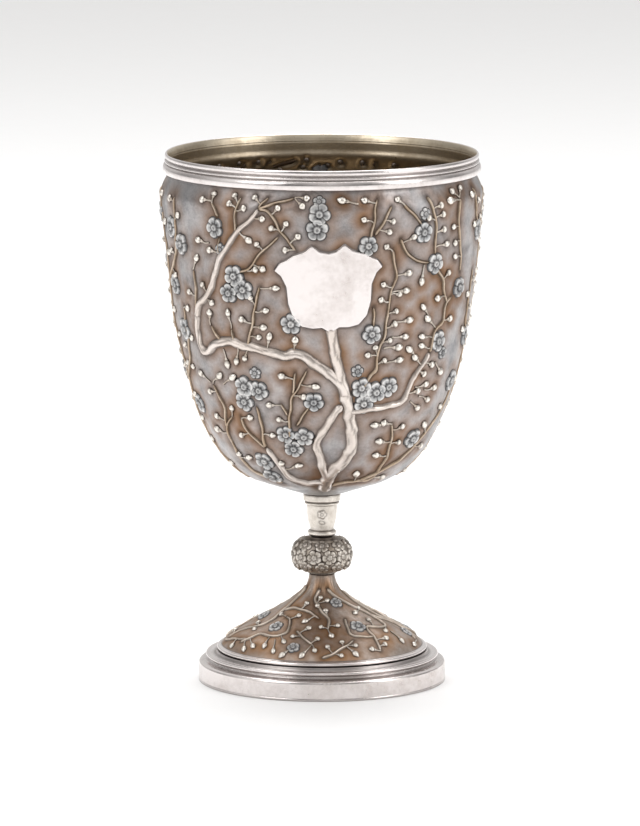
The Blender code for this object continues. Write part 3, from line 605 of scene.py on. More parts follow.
def bud(wall, foot, centre, size, bend):
    """Loft round sections along a bent stalk from its foot on a twig, through a bud, to its point."""
    radius = wall.radius(centre[1])
    reach = np.array(((centre[0] - foot[0]) * radius, centre[1] - foot[1]))
    length = max(float(np.hypot(*reach)), 0.1 * MM)
    ahead = reach / length
    side = np.array((ahead[1], -ahead[0]))
    stalk = length + 1.7 * MM * size
    bud_share = min(0.5, 3.9 * MM * size / stalk)
    share = np.where(BUD_AT < 0.5, BUD_AT / 0.5 * (1.0 - bud_share), 1.0 - bud_share * (1.0 - BUD_AT) / 0.5)
    start = np.array((-length, 0.0))
    path_u = start[0] + stalk * share
    path_v = bend * np.sin(math.pi * np.clip(share / (1.0 - bud_share), 0.0, 1.0))
    x = np.cos(BUD_ROUND)[None, :] * BUD_RADIUS[:, None] * MM * size
    squash = BUD_PROUD / 1.3
    y = (BUD_UP[:, None] + squash * np.sin(BUD_ROUND)[None, :] * BUD_RADIUS[:, None] * size) * MM
    u = path_u[:, None] * ahead[0] + (path_v[:, None] + x) * side[0]
    v = path_u[:, None] * ahead[1] + (path_v[:, None] + x) * side[1]
    rows = wall.place_raised(centre[0] + u / radius, centre[1] + v, y)
    tips = np.array((path_u[0] - 0.1 * MM, path_u[-1] + 0.28 * MM * size))
    poles = wall.place_raised(centre[0] + tips * ahead[0] / radius, centre[1] + tips * ahead[1], np.full(2, 0.12 * MM))
    # Painted shade on its lower side, a dark outline round it; the painted highlight keeps off that side.
    lower = ease(-np.sin(BUD_ROUND), -0.35, 0.3)[None, :]
    painted_shade = np.clip(BUD_PAINTED_SHADE[:, None] + lower, 0.0, 1.0)
    high = BUD_PAINTED_HIGHLIGHT[:, None] * (1.0 - lower)
    warm = ease(BUD_AT, 0.58, 0.5)[:, None] + 0.0 * high
    return tube(rows, poles, np.stack((painted_shade, high, warm), axis=-1))


def as_places(wall, places):
    places = np.array(places, float)
    return np.radians(places[:, 0]), wall.at_height(places[:, 1])


def wall_distance(wall, angle, along, to_angle, to_along):
    """Distances over the wall from each of the first places to each of the second."""
    turn = (angle[:, None] - to_angle[None, :] + math.pi) % TURN - math.pi
    radius = wall.radius(0.5 * (along[:, None] + to_along[None, :]))
    return np.hypot(turn * radius, along[:, None] - to_along[None, :])


def stalk_feet(wall, buds, twigs):
    """For each bud the place on a twig, about 3.4 mm off, that its stalk grows from."""
    runs = [curve_on(wall, route, 1.0 * MM) for _, _, route in twigs]
    angle = np.concatenate([run[0] for run in runs])
    along = np.concatenate([run[1] for run in runs])
    bud_angle, bud_along = as_places(wall, buds)
    away = wall_distance(wall, bud_angle, bud_along, angle, along)
    below = ease(along[None, :] - bud_along[:, None], -1.0 * MM, 3.0 * MM)
    cost = np.abs(away - 3.4 * MM) + 1.2 * MM * below
    best = np.argmin(cost, axis=1)
    turn = (angle[best] - bud_angle + math.pi) % TURN - math.pi
    keep = np.minimum(1.0, 7.0 * MM / np.maximum(away[np.arange(len(best)), best], 0.1 * MM))
    return [
        ((a + t * k, s + (f - s) * k), (a, s))
        for a, s, t, f, k in zip(bud_angle, bud_along, turn, along[best], keep)]


def buds_along(wall, twigs, rng, taken):
    """Buds on both sides of twigs in turn, left out where something already grows."""
    made = []
    for _, _, route in twigs:
        angle, along, at = curve_on(wall, route, 1.0 * MM)
        picks = np.arange(3, len(at) - 1, 6)
        side = np.where(np.arange(len(picks)) % 2, 1.0, -1.0)
        ahead_u = (np.gradient(angle) * wall.radius(along))[picks]
        ahead_v = np.gradient(along)[picks]
        size = np.hypot(ahead_u, ahead_v)
        off = rng.uniform(2.8, 4.2, len(picks)) * MM * side
        out_angle = angle[picks] + (off * ahead_v + 1.6 * MM * ahead_u) / size / wall.radius(along[picks])
        out_along = along[picks] + (-off * ahead_u + 1.6 * MM * ahead_v) / size
        height = np.interp(out_along, wall.lengths, wall.heights) / MM
        made += list(zip(np.degrees(out_angle), height))
    angle, along = as_places(wall, made)
    taken_angle, taken_along = as_places(wall, taken)
    room = wall_distance(wall, angle, along, taken_angle, taken_along)
    clear = (room > 4.6 * MM).all(axis=1)
    near = wall_distance(wall, angle, along, angle, along)
    earlier = np.tril(near < 3.4 * MM, -1).any(axis=1)
    top = np.interp(210.6 * MM, wall.heights, wall.lengths)
    return [place for place, ok in zip(made, clear & ~earlier & (along < top)) if ok]


def mirrored(items):
    """The same work on the back of the cup, seen from there as it is from the front."""
    made = []
    for item in items:
        if len(item) == 3 and isinstance(item[2], tuple):
            made.append((item[0], item[1], tuple((180.0 - d, h) for d, h in item[2])))
        else:
            made.append((180.0 - item[0],) + tuple(item[1:]))
    return made


def shield_outline(points):
    """The whole outline: its half, mirrored, and resampled evenly along straight lines between its points."""
    half = np.array(SHIELD_HALF)
    whole = np.vstack((half, (half[1:-1] * (-1.0, 1.0))[::-1]))
    closed = np.vstack((whole, whole[:1]))
    length = np.concatenate(([0.0], np.cumsum(np.hypot(*np.diff(closed, axis=0).T))))
    at = np.linspace(0.0, length[-1], points, endpoint=False)
    return np.column_stack((np.interp(at, length, closed[:, 0]), np.interp(at, length, closed[:, 1])))


def shield_place(wall, x, y):
    """Angle and length of a point of the shield, from millimetres off its centre."""
    turn = math.radians(SHIELD_TURN)
    height = SHIELD_PLACE[1] + x * math.sin(turn) + y * math.cos(turn)
    along = wall.at_height(height)
    across = (x * math.cos(turn) - y * math.sin(turn)) * MM
    return math.radians(SHIELD_PLACE[0]) + across / wall.radius(along), along


def shield(wall):
    """Blank shield: its outline shrunk to its middle in rings, flat, with a crisp rounded edge."""
    outline = shield_outline(192)
    size = np.hypot(outline[:, 0], outline[:, 1])
    scale = np.array((0.15, 0.4, 0.65, 0.85, 0.94))
    rings = [outline * s for s in scale]
    out = outline / size[:, None]
    for inset in (0.55, 0.3, 0.12, 0.0, -0.08, -0.55, -0.55):
        rings.append(outline - out * inset)
    proud = np.array((0.0, 0.0, 0.0, 0.0, 0.02, 0.06, 0.05, -0.05, -0.3)) + SHIELD_PROUD
    proud = np.concatenate((proud, (0.06, 0.03, -SINK)))
    # Painted highlight on the rounded edge, painted shadow in a dark ring round the shield.
    painted_shade = np.array((0, 0, 0, 0, 0, 0, 0, 0, 0.3, 1, 1, 1))
    high = np.array((0.3, 0.3, 0.3, 0.3, 0.4, 0.9, 1, 1, 0.5, 0, 0, 0))
    xy = np.stack(rings)
    angles, alongs = shield_place(wall, xy[..., 0], xy[..., 1])
    base = 0.55 * SWELL * MM
    lift = wall.lift(angles, alongs) * (proud < 0.5)[:, None] + base * (proud >= 0.5)[:, None]
    rows = wall.place(angles, alongs, proud[:, None] * MM + lift)
    middle = shield_place(wall, np.zeros(2), np.zeros(2))
    poles = wall.place(middle[0], middle[1], np.array((SHIELD_PROUD * MM + base, -SINK * MM)))
    shades = np.stack((painted_shade, high, 0.0 * high), axis=-1)[:, None, :]
    return tube(rows, poles, shades)


def turned_rows(radii, heights, columns):
    """Revolve a profile: rows of points, one per profile point."""
    angle = np.linspace(0.0, TURN, columns, endpoint=False)
    radii, heights = np.broadcast_arrays(np.asarray(radii, float), np.asarray(heights, float))
    if radii.ndim == 1:
        radii, heights = radii[:, None], heights[:, None]
    return np.stack((
        radii * np.sin(angle), -radii * np.cos(angle), heights + 0.0 * angle), axis=-1) * MM


def rounded(profile, steps, closed):
    """Catmull-Rom curve through a profile's points, in millimetres."""
    points = np.array(profile, float)
    if closed:
        ends = np.vstack((points[-1:], points, points[:2]))
    else:
        ends = np.vstack((points[:1], points, points[-1:]))
    before, start, after, beyond = ends[:-3], ends[1:-2], ends[2:-1], ends[3:]
    t = np.linspace(0.0, 1.0, steps, endpoint=False)[:, None, None]
    curve = 0.5 * (
        2.0 * start + (after - before) * t
        + (2.0 * before - 5.0 * start + 4.0 * after - beyond) * t ** 2
        + (3.0 * start - before - 3.0 * after + beyond) * t ** 3)
    curve = curve.transpose(1, 0, 2).reshape(-1, 2)
    return curve if closed else np.vstack((curve, points[-1:]))


def socket(tree, value, target):
    """Link a socket, or set a plain value."""
    if isinstance(value, bpy.types.NodeSocket):
        tree.links.new(value, target)
    else:
        target.default_value = value


def put(tree, kind, settings=None, **inputs):
    """Add a node, set its properties, and fill its inputs with values or other nodes' outputs."""
    made = tree.nodes.new(kind)
    for name, value in (settings or {}).items():
        setattr(made, name, value)
    for name, value in inputs.items():
        key = int(name[1:]) if name[0] == "i" and name[1:].isdigit() else name.replace("_", " ")
        socket(tree, value, made.inputs[key])
    return made


def maths(tree, operation, a, b=0.0, c=0.0, clamp=False):
    return put(tree, "ShaderNodeMath", {"operation": operation, "use_clamp": clamp}, i0=a, i1=b, i2=c).outputs[0]


def blend_colours(tree, factor, a, b):
    mixed = put(tree, "ShaderNodeMix", {"data_type": "RGBA"}, i0=factor, i6=a, i7=b)
    return mixed.outputs[2]


def noise(tree, where, scale, detail=3.0, roughness=0.55):
    made = put(
        tree, "ShaderNodeTexNoise", Vector=where, Scale=scale, Detail=detail, Roughness=roughness)
    return made.outputs["Fac"]


def painted_light_and_tarnish_group():
    """Tarnish on silver: a film in clouds and brown near the twigs; painted shade darkens the recesses, from the
    marked recesses and an ambient occlusion node, and a painted highlight thins the film on the tops.
    """
    tree = bpy.data.node_groups.new("tarnish_and_painted_light", "ShaderNodeTree")
    colours = ("Silver", "Film", "Brown", "Deep")
    values = ("Cover", "Brownness", "Darkness", "Cloud", "Grain")
    for name in colours:
        tree.interface.new_socket(name, in_out="INPUT", socket_type="NodeSocketColor")
    for name in values:
        tree.interface.new_socket(name, in_out="INPUT", socket_type="NodeSocketFloat")
    tree.interface.new_socket("Color", in_out="OUTPUT", socket_type="NodeSocketColor")
    tree.interface.new_socket("Roughness", in_out="OUTPUT", socket_type="NodeSocketFloat")
    tree.interface.new_socket("Height", in_out="OUTPUT", socket_type="NodeSocketFloat")
    given = tree.nodes.new("NodeGroupInput").outputs
    result = tree.nodes.new("NodeGroupOutput").inputs
    where = tree.nodes.new("ShaderNodeTexCoord").outputs["Object"]
    marks = put(tree, "ShaderNodeAttribute", {"attribute_name": "painted_light_and_tarnish"})
    parts = put(tree, "ShaderNodeSeparateColor", Color=marks.outputs["Color"]).outputs
    painted_shade, high, warm = parts[0], parts[1], parts[2]
    # Ambient occlusion fed into the colour: painted shade in creases and hollows.
    shelter = put(tree, "ShaderNodeAmbientOcclusion", {"samples": 6}, Distance=0.0016).outputs["AO"]
    hidden = maths(tree, "SUBTRACT", 1.0, shelter, clamp=True)
    hidden = maths(tree, "MULTIPLY", hidden, 1.5, clamp=True)
    painted_shade_mask = maths(tree, "MAXIMUM", maths(tree, "MULTIPLY", painted_shade, 0.85), hidden)

    clouds = noise(tree, where, given["Cloud"], 4.0, 0.6)
    specks = noise(tree, where, given["Grain"], 3.0, 0.6)
    patches = noise(tree, where, maths(tree, "MULTIPLY", given["Cloud"], 0.45), 2.0, 0.5)
    film = maths(tree, "MULTIPLY_ADD", maths(tree, "SUBTRACT", clouds, 0.5), 2.4, given["Cover"])
    film = maths(tree, "MULTIPLY_ADD", maths(tree, "SUBTRACT", specks, 0.5), 0.8, film)
    # Painted highlight: less film where the tops are marked high.
    film = maths(tree, "MULTIPLY_ADD", high, -0.55, film, clamp=True)
    brown = maths(tree, "MULTIPLY", maths(tree, "MULTIPLY_ADD", patches, 2.6, -0.7, clamp=True), warm)
    brown = maths(tree, "MULTIPLY", brown, given["Brownness"], clamp=True)
    colour = blend_colours(tree, film, given["Silver"], given["Film"])
    colour = blend_colours(tree, brown, colour, given["Brown"])
    # Painted shade: the colour goes towards the dark shade colour in recesses and where the occlusion is.
    dark = maths(tree, "MULTIPLY", painted_shade_mask, given["Darkness"], clamp=True)
    colour = blend_colours(tree, dark, colour, given["Deep"])
    rough = maths(tree, "MULTIPLY_ADD", film, 0.14, 0.0)
    rough = maths(tree, "MULTIPLY_ADD", dark, 0.18, rough)
    rough = maths(tree, "MULTIPLY_ADD", specks, 0.1, rough)
    tree.links.new(colour, result["Color"])
    tree.links.new(rough, result["Roughness"])
    tree.links.new(specks, result["Height"])
    return tree


def silver(name, tarnish_and_painted_light, roughness, relief, fine=2600.0, **look):
    """Silver with its own share of tarnish and painted shade, a base roughness and a fine tooled surface."""
    material = bpy.data.materials.new(name)
    material.use_nodes = True
    tree = material.node_tree
    shader = tree.nodes["Principled BSDF"]
    group = put(tree, "ShaderNodeGroup", {"node_tree": tarnish_and_painted_light})
    for key, value in look.items():
        group.inputs[key].default_value = (*value, 1.0) if isinstance(value, tuple) else value
    tree.links.new(group.outputs["Color"], shader.inputs["Base Color"])
    rough = maths(tree, "ADD", group.outputs["Roughness"], roughness)
    tree.links.new(rough, shader.inputs["Roughness"])
    shader.inputs["Metallic"].default_value = 1.0
    where = tree.nodes.new("ShaderNodeTexCoord").outputs["Object"]
    tooled = noise(tree, where, fine, 2.0, 0.5)
    height = maths(tree, "MULTIPLY_ADD", tooled, 0.6, group.outputs["Height"])
    raised = put(tree, "ShaderNodeBump", Strength=relief, Distance=0.0002, Height=height)
    tree.links.new(raised.outputs["Normal"], shader.inputs["Normal"])
    return material


def build_bowl(wall, relief, outside, inside):
    """The bowl's sheet: down the inside with its shallow dents, round its edge and down the outside."""
    angle = np.linspace(0.0, TURN, BOWL_COLUMNS, endpoint=False)[None, :]
    seat = wall.at_height(BOWL_BOTTOM)
    top = wall.lengths[-1]
    middle = wall.at_height(188.0)
    neck = wall.at_height(CREASE_HEIGHT)
    inner = np.concatenate((
        np.linspace(seat, middle, 26, endpoint=False), np.linspace(middle, neck, 38, endpoint=False),
        np.linspace(neck, top, 6)))[:, None]
    dent = bump(np.clip(relief.read(angle, inner), 0.0, 1.0), 0.7 * MM) * ease(inner, neck, neck - 0.8 * MM)
    dent = dent * ease(inner, wall.at_height(86.0), wall.at_height(92.0))
    thick = WALL + (NECK_WALL - WALL) * ease(inner, wall.at_height(SHOULDER_HEIGHT), neck)
    crease = 0.35 * ease(inner, neck - 1.2 * MM, neck) - 0.2
    inner_rows = wall.place(angle, inner, (-thick + DENT * dent + crease) * MM)
    edge_rows = turned_rows((NECK_RADIUS - 0.65, NECK_RADIUS - 0.25), (BOWL_EDGE + 0.1, BOWL_EDGE + 0.1), BOWL_COLUMNS)
    outer = np.linspace(top, seat, 168)[:, None]
    away = relief.read(angle, outer)
    outer_rows = wall.place(angle, outer, wall.lift(angle, outer))
    rows = np.vstack((inner_rows, edge_rows, outer_rows))
    # Inside: painted shade in the dents, painted highlight round their rims.
    edge_in = bump(relief.read(angle, inner) - 0.5 * MM, 0.5 * MM) * ease(inner, neck, neck - 1.5 * MM)
    shade_in = np.stack((0.9 * dent, 0.9 * edge_in, 0.5 + 0.0 * dent), axis=-1)
    shade_edge = np.zeros((2, BOWL_COLUMNS, 3))
    # Outside: painted shade within about a millimetre of the raised work, a slight even highlight mark, and brown
    # tarnish near the work.
    painted_shade = 0.95 * np.exp(-np.clip(away, 0.0, 1.0) / (1.0 * MM))
    near = bump(np.clip(away, 0.0, 1.0), 5.0 * MM)
    shade_out = np.stack((painted_shade, 0.12 + 0.0 * painted_shade, near), axis=-1)
    shades = np.vstack((shade_in, shade_edge, shade_out))
    poles = np.array(((0.0, 0.0, (BOWL_BOTTOM + WALL) * MM), (0.0, 0.0, BOWL_BOTTOM * MM)))
    tones = np.repeat(np.arange(len(rows) - 1) < len(inner), BOWL_COLUMNS).astype(int)
    sheet = tube(rows, poles, shades, tones)
    return make_piece("bowl_wall", [sheet], [outside, inside], "bowl")


def build_raised_work(wall, finishes):
    """Where the tree, its blossoms and its buds go on the bowl, with buds added along the side and back twigs."""
    rng = np.random.default_rng(21)
    limbs = list(LIMBS) + mirrored(LIMBS)
    twigs = list(TWIGS) + mirrored(TWIGS) + list(SIDE_TWIGS) + list(BACK_FILLING)
    flowers = list(BLOSSOMS) + mirrored(BLOSSOMS) + list(SIDE_BLOSSOMS) + list(BACK_BLOSSOMS)
    halves = list(HALF_BLOSSOMS) + mirrored(HALF_BLOSSOMS)
    placed = list(BUDS) + mirrored(BUDS)
    extra = buds_along(wall, list(SIDE_TWIGS) + list(BACK_FILLING), rng, placed + flowers)
    buds = placed + extra
    return limbs, twigs, flowers, halves, buds, rng


def bowl_relief(wall, limbs, twigs, flowers, buds):
    """Distance maps of everything that is raised, and of the thick limbs alone."""
    everything = ReliefMap(wall, 760, 0.6 * MM, 22)
    thick = ReliefMap(wall, 760, 0.6 * MM, 26)
    for width, tip_width, route in limbs + twigs:
        angle, along, at = curve_on(wall, route, 0.5 * MM)
        half = 0.5 * MM * (width + (tip_width - width) * at / at[-1])
        everything.add(angle, along, half)
        if width > 2.2:
            thick.add(angle, along, half)
    angle, along = as_places(wall, flowers)
    everything.add(angle, along, 4.0 * MM)
    angle, along = as_places(wall, buds)
    everything.add(angle, along, 1.3 * MM)
    outline = shield_outline(400)
    for scale in np.linspace(0.05, 0.98, 24):
        angle, along = shield_place(wall, scale * outline[:, 0], scale * outline[:, 1])
        everything.add(angle, along, 0.4 * MM)
        thick.add(angle, along, 0.4 * MM)
    return everything.spread(), thick.spread()


def main():
    tarnish_and_painted_light = painted_light_and_tarnish_group()
    ground = silver(
        "chased_ground", tarnish_and_painted_light, 0.30, 0.7, Silver=(0.50, 0.48, 0.48), Film=(0.25, 0.255, 0.265),
        Brown=(0.29, 0.17, 0.10), Deep=(0.06, 0.042, 0.034), Cover=0.5, Brownness=1.1, Darkness=0.95,
        Cloud=110.0, Grain=900.0)
    inside = silver(
        "bowl_inside", tarnish_and_painted_light, 0.24, 0.25, Silver=(0.62, 0.54, 0.42), Film=(0.38, 0.31, 0.22),
        Brown=(0.22, 0.15, 0.09), Deep=(0.05, 0.038, 0.028), Cover=0.55, Brownness=0.6, Darkness=0.6,
        Cloud=90.0, Grain=700.0)
    bark = silver(
        "raised_bark", tarnish_and_painted_light, 0.28, 0.3, Silver=(0.80, 0.73, 0.68), Film=(0.50, 0.44, 0.39),
        Brown=(0.45, 0.32, 0.22), Deep=(0.085, 0.06, 0.05), Cover=0.42, Brownness=0.6, Darkness=0.95,
        Cloud=160.0, Grain=1100.0)
    twig_bark = silver(
        "twig_bark", tarnish_and_painted_light, 0.28, 0.3, Silver=(0.62, 0.52, 0.42), Film=(0.36, 0.27, 0.19),
        Brown=(0.36, 0.23, 0.13), Deep=(0.06, 0.042, 0.032), Cover=0.75, Brownness=1.2, Darkness=0.95,
        Cloud=260.0, Grain=1300.0)
    petals = silver(
        "raised_petals", tarnish_and_painted_light, 0.30, 0.3, Silver=(0.74, 0.73, 0.72), Film=(0.36, 0.37, 0.38),
        Brown=(0.36, 0.28, 0.2), Deep=(0.05, 0.045, 0.045), Cover=0.7, Brownness=0.5, Darkness=0.95,
        Cloud=180.0, Grain=1200.0)
    bud_tops = silver(
        "raised_buds", tarnish_and_painted_light, 0.26, 0.2, Silver=(0.88, 0.83, 0.76), Film=(0.58, 0.52, 0.44),
        Brown=(0.42, 0.3, 0.2), Deep=(0.075, 0.05, 0.04), Cover=0.35, Brownness=0.5, Darkness=0.95,
        Cloud=200.0, Grain=1300.0)
    plain = silver(
        "polished_silver", tarnish_and_painted_light, 0.14, 0.08, Silver=(0.80, 0.75, 0.735), Film=(0.56, 0.50, 0.47),
        Brown=(0.5, 0.38, 0.3), Deep=(0.10, 0.08, 0.07), Cover=0.35, Brownness=0.3, Darkness=0.85,
        Cloud=60.0, Grain=500.0)
    stem = silver(
        "stem_silver", tarnish_and_painted_light, 0.24, 0.2, Silver=(0.74, 0.69, 0.63), Film=(0.44, 0.39, 0.33),
        Brown=(0.36, 0.27, 0.18), Deep=(0.07, 0.05, 0.04), Cover=0.45, Brownness=0.6, Darkness=0.9,
        Cloud=200.0, Grain=1200.0)
    foot_bark = silver(
        "foot_bark", tarnish_and_painted_light, 0.28, 0.3, Silver=(0.74, 0.66, 0.58), Film=(0.46, 0.38, 0.30),
        Brown=(0.40, 0.27, 0.17), Deep=(0.06, 0.042, 0.032), Cover=0.55, Brownness=0.8, Darkness=0.95,
        Cloud=260.0, Grain=1300.0)
    foot_ground = silver(
        "foot_ground", tarnish_and_painted_light, 0.30, 0.6, Silver=(0.52, 0.46, 0.42), Film=(0.28, 0.22, 0.18),
        Brown=(0.36, 0.21, 0.115), Deep=(0.06, 0.042, 0.032), Cover=0.5, Brownness=1.1, Darkness=0.9,
        Cloud=130.0, Grain=1000.0)

    wall = bowl_wall()
    limbs, twigs, flowers, halves, buds, rng = build_raised_work(wall, None)
    relief, thick = bowl_relief(wall, limbs, twigs, flowers, buds)
    top, bottom = wall.at_height(208.5), wall.at_height(88.0)
    lip = wall.at_height(211.6)
    floor = wall.at_height(82.0)

    def lift(angle, along):
        fade = ease(along, lip, top) * ease(along, floor, bottom)
        swell = SWELL * bump(np.clip(thick.read(angle, along), 0.0, 1.0), SWELL_REACH * MM)
        away = relief.read(angle, along)
        puff = PUFF * (ease(away, 0.2 * MM, PUFF_REACH * MM) - 0.5)
        return (swell + BILLOW * billows(angle, along) + puff) * fade * MM

    wall.lift = lift
    build_bowl(wall, relief, ground, inside)

    wood = [branch(wall, w, t, route, LIMB_PROUD, rng) for w, t, route in limbs]
    make_piece("raised_limbs", wood, [bark], "bowl")
    slim = TWIG_SLIMNESS
    wood = [branch(wall, w * slim, t * slim, route, TWIG_PROUD, rng) for w, t, route in twigs]
    make_piece("raised_twigs", wood, [twig_bark], "bowl")
    bloom = [
        blossom(wall, d, h, rng.uniform(4.1, 4.6), rng.uniform(0.0, 72.0), 0.12 * (i % 3))
        for i, (d, h) in enumerate(flowers)]
    bloom += [blossom(wall, d, h, 2.5, rng.uniform(0.0, 72.0), 0.1, fine=False) for d, h in halves]
    make_piece("raised_blossoms", bloom, [petals], "bowl")
    stalks = stalk_feet(wall, buds, limbs + twigs)
    closed = [bud(wall, foot, at, rng.uniform(1.02, 1.3), rng.uniform(-0.5, 0.5) * MM) for foot, at in stalks]
    make_piece("raised_buds", closed, [bud_tops], "bowl")
    make_piece("blank_shield", [shield(wall)], [plain], "bowl")

    # Lip: bead, groove, fillet and a broad half-round
    lip_profile = (
        (62.85, 217.05), (63.0, 217.8), (63.2, 218.6), (63.5, 219.4), (63.8, 219.85), (64.1, 220.0),
        (64.4, 219.7), (64.55, 219.1), (64.5, 218.4), (64.2, 217.9), (64.05, 217.6), (64.1, 217.35), (64.5, 217.15),
        (64.72, 216.8), (64.68, 216.4), (64.4, 216.1), (64.4, 215.85), (64.85, 215.6), (65.2, 215.1),
        (65.42, 214.3), (65.42, 213.4), (65.25, 212.6), (64.95, 212.1), (64.5, 212.0), (63.95, 212.05),
        (63.9, 212.5), (63.9, 216.9), (63.7, 217.05), (63.2, 217.02),
    )
    curve = rounded(lip_profile, 4, True)
    marks = np.zeros((len(curve), 1, 3))
    # Painted shade in the two grooves, painted highlight along the top of the bead.
    grooves = bump(curve[:, 1] - 217.55, 0.28) + bump(curve[:, 1] - 215.95, 0.22)
    marks[:, 0, 0] = np.clip(grooves, 0.0, 1.0) * (curve[:, 0] > 63.95)
    marks[:, 0, 1] = bump(curve[:, 1] - 219.4, 0.8) + 0.3
    rows = turned_rows(curve[:, 0], curve[:, 1], MOULDING_COLUMNS)
    within = ((curve[:, 0] < 63.75) & (curve[:, 1] > 216.9)).astype(int)
    ring = tube(rows, None, marks, np.repeat(within, MOULDING_COLUMNS))
    make_piece("lip_ring", [ring], [plain, inside], "lip_moulding")

    # Sleeve: flange, second ring, taper and the ring on the knop
    sleeve_profile = (
        (7.3, 78.25), (7.4, 78.05), (7.6, 77.8), (7.72, 77.2), (7.7, 76.2), (7.68, 75.4), (7.45, 75.0), (6.95, 74.85),
        (6.85, 74.6), (7.1, 74.4), (7.2, 74.0), (7.05, 73.6), (6.55, 73.35), (6.4, 73.0), (6.3, 71.5),
        (6.2, 70.0), (6.05, 68.5), (5.8, 66.8), (5.4, 65.2), (5.0, 63.8), (4.82, 62.9), (4.95, 62.55),
        (5.5, 62.4), (5.82, 62.05), (5.88, 61.4), (5.75, 60.8), (5.35, 60.45), (4.9, 60.25),
    )
    curve = rounded(sleeve_profile, 5, False)
    angle = np.linspace(0.0, TURN, SLEEVE_COLUMNS, endpoint=False)
    near = (angle + math.pi / 2.0) % math.pi - math.pi / 2.0
    u = near[None, :] * 6.1
    v = curve[:, 1][:, None] - 69.8
    rho = np.hypot(u, v)
    phi = np.arctan2(v, u)
    petal_line = 1.45 + 0.5 * np.abs(np.cos(2.5 * phi))
    cut = bump(rho - petal_line, 0.26) + bump(rho - 0.6, 0.2)
    leaf = bump(np.hypot(u * 0.6 + 0.25 * (v + 3.6), v + 3.6) - 0.75, 0.2)
    cut = np.clip(cut + leaf, 0.0, 1.0)
    raised = 0.3 * ease(petal_line - rho, -0.1, 0.3)
    radii = curve[:, 0][:, None] + raised - 0.16 * cut
    marks = np.zeros((len(curve), SLEEVE_COLUMNS, 3))
    # Painted shade in the cut lines and the ring joints, painted highlight on the raised petals.
    ring_lines = bump(curve[:, 1] - 74.7, 0.22) + bump(curve[:, 1] - 62.75, 0.25) + bump(curve[:, 1] - 60.3, 0.3)
    marks[..., 0] = np.clip(0.8 * cut + ring_lines[:, None], 0.0, 1.0)
    marks[..., 1] = 0.4 + 0.4 * raised / 0.3
    rows = turned_rows(radii, curve[:, 1][:, None], SLEEVE_COLUMNS)
    poles = np.array(((0.0, 0.0, 78.25), (0.0, 0.0, 60.25))) * MM
    make_piece("stem_collar", [tube(rows, poles, marks)], [stem], "stem_sleeve")

    # Knop: its ball, and rings of blossoms
    ball = knop_wall()
    side = np.column_stack((ball.radii, ball.heights)) / MM
    knop_profile = np.vstack((
        ((3.4, 59.75), (4.6, 59.6), (4.8, 58.2), (5.6, 57.6), (6.6, 57.7), (7.6, 58.6), (8.6, 58.9)), side[::-1][6::4],
        ((5.9, 44.6), (5.4, 44.5))))
    curve = rounded(knop_profile, 3, False)
    marks = np.zeros((len(curve), 1, 3))
    # Darker all over, with painted shade deepest in the hollow round the sleeve on top; brown tarnish all over.
    marks[:, 0, 0] = np.clip(0.55 + bump(curve[:, 0] - 5.2, 1.4) * (curve[:, 1] > 57.0), 0.0, 1.0)
    marks[:, 0, 2] = 0.6
    rows = turned_rows(curve[:, 0], curve[:, 1], KNOP_COLUMNS)
    poles = np.array(((0.0, 0.0, KNOP_TOP - 0.2), (0.0, 0.0, KNOP_BOTTOM))) * MM
    make_piece("knop_ball", [tube(rows, poles, marks)], [stem], "knop")
    small = []
    for ring, (height, count, radius) in enumerate(KNOP_RINGS):
        for i in range(count):
            degrees = 360.0 * (i + 0.5 * (ring % 2)) / count
            small.append(blossom(ball, degrees, height, radius, rng.uniform(0.0, 72.0), 0.05 * (i % 2), fine=False))
    make_piece("knop_blossoms", small, [stem], "knop")

    # Foot: dome with its bead, hollow underneath
    dome = dome_wall()
    foot_twigs = list(FOOT_TWIGS) + mirrored(FOOT_TWIGS)
    foot_flowers = list(FOOT_BLOSSOMS) + mirrored(FOOT_BLOSSOMS)
    foot_buds = list(FOOT_BUDS) + mirrored(FOOT_BUDS)
    near_work = ReliefMap(dome, 420, 0.5 * MM, 14)
    for width, tip_width, route in foot_twigs:
        angle, along, at = curve_on(dome, route, 0.5 * MM)
        near_work.add(angle, along, 0.5 * width * MM)
    angle, along = as_places(dome, foot_flowers)
    near_work.add(angle, along, 2.6 * MM)
    angle, along = as_places(dome, foot_buds)
    near_work.add(angle, along, 1.0 * MM)
    near_work.spread()
    base = dome.at_height(15.6)

    def foot_lift(angle, along):
        fade = ease(along, 0.0, base)
        away = np.clip(near_work.read(angle, along), 0.0, 1.0)
        return (0.10 * billows(0.7 * angle * 0.0 + angle, along) - 0.10 * bump(away, 0.7 * MM)) * fade * MM

    dome.lift = foot_lift
    angle = np.linspace(0.0, TURN, DOME_COLUMNS, endpoint=False)[None, :]
    outer = np.linspace(dome.lengths[-1], 0.0, 96)[:, None]
    outer_rows = dome.place(angle, outer, dome.lift(angle, outer))
    bead_profile = rounded((
        (41.7, 14.75), (42.1, 14.55), (42.55, 14.5), (43.1, 14.35), (43.5, 13.9), (43.5, 13.35),
        (43.2, 13.0), (42.6, 12.9), (40.6, 12.9), (40.2, 13.1)), 3, False)
    bead_rows = turned_rows(bead_profile[:, 0], bead_profile[:, 1], DOME_COLUMNS)
    inner = np.linspace(0.0, dome.at_height(37.0), 40)[:, None]
    inner_rows = dome.place(angle, inner, -DOME_WALL * MM + 0.0 * angle)
    away = near_work.read(angle, outer)
    # Painted shade near the foot's raised work, a slight even highlight mark, and brown tarnish near the work.
    shade_out = np.stack((0.8 * np.exp(-np.clip(away, 0.0, 1.0) / (0.7 * MM)), 0.1 + 0.0 * away,
                          bump(np.clip(away, 0.0, 1.0), 4.0 * MM)), axis=-1)
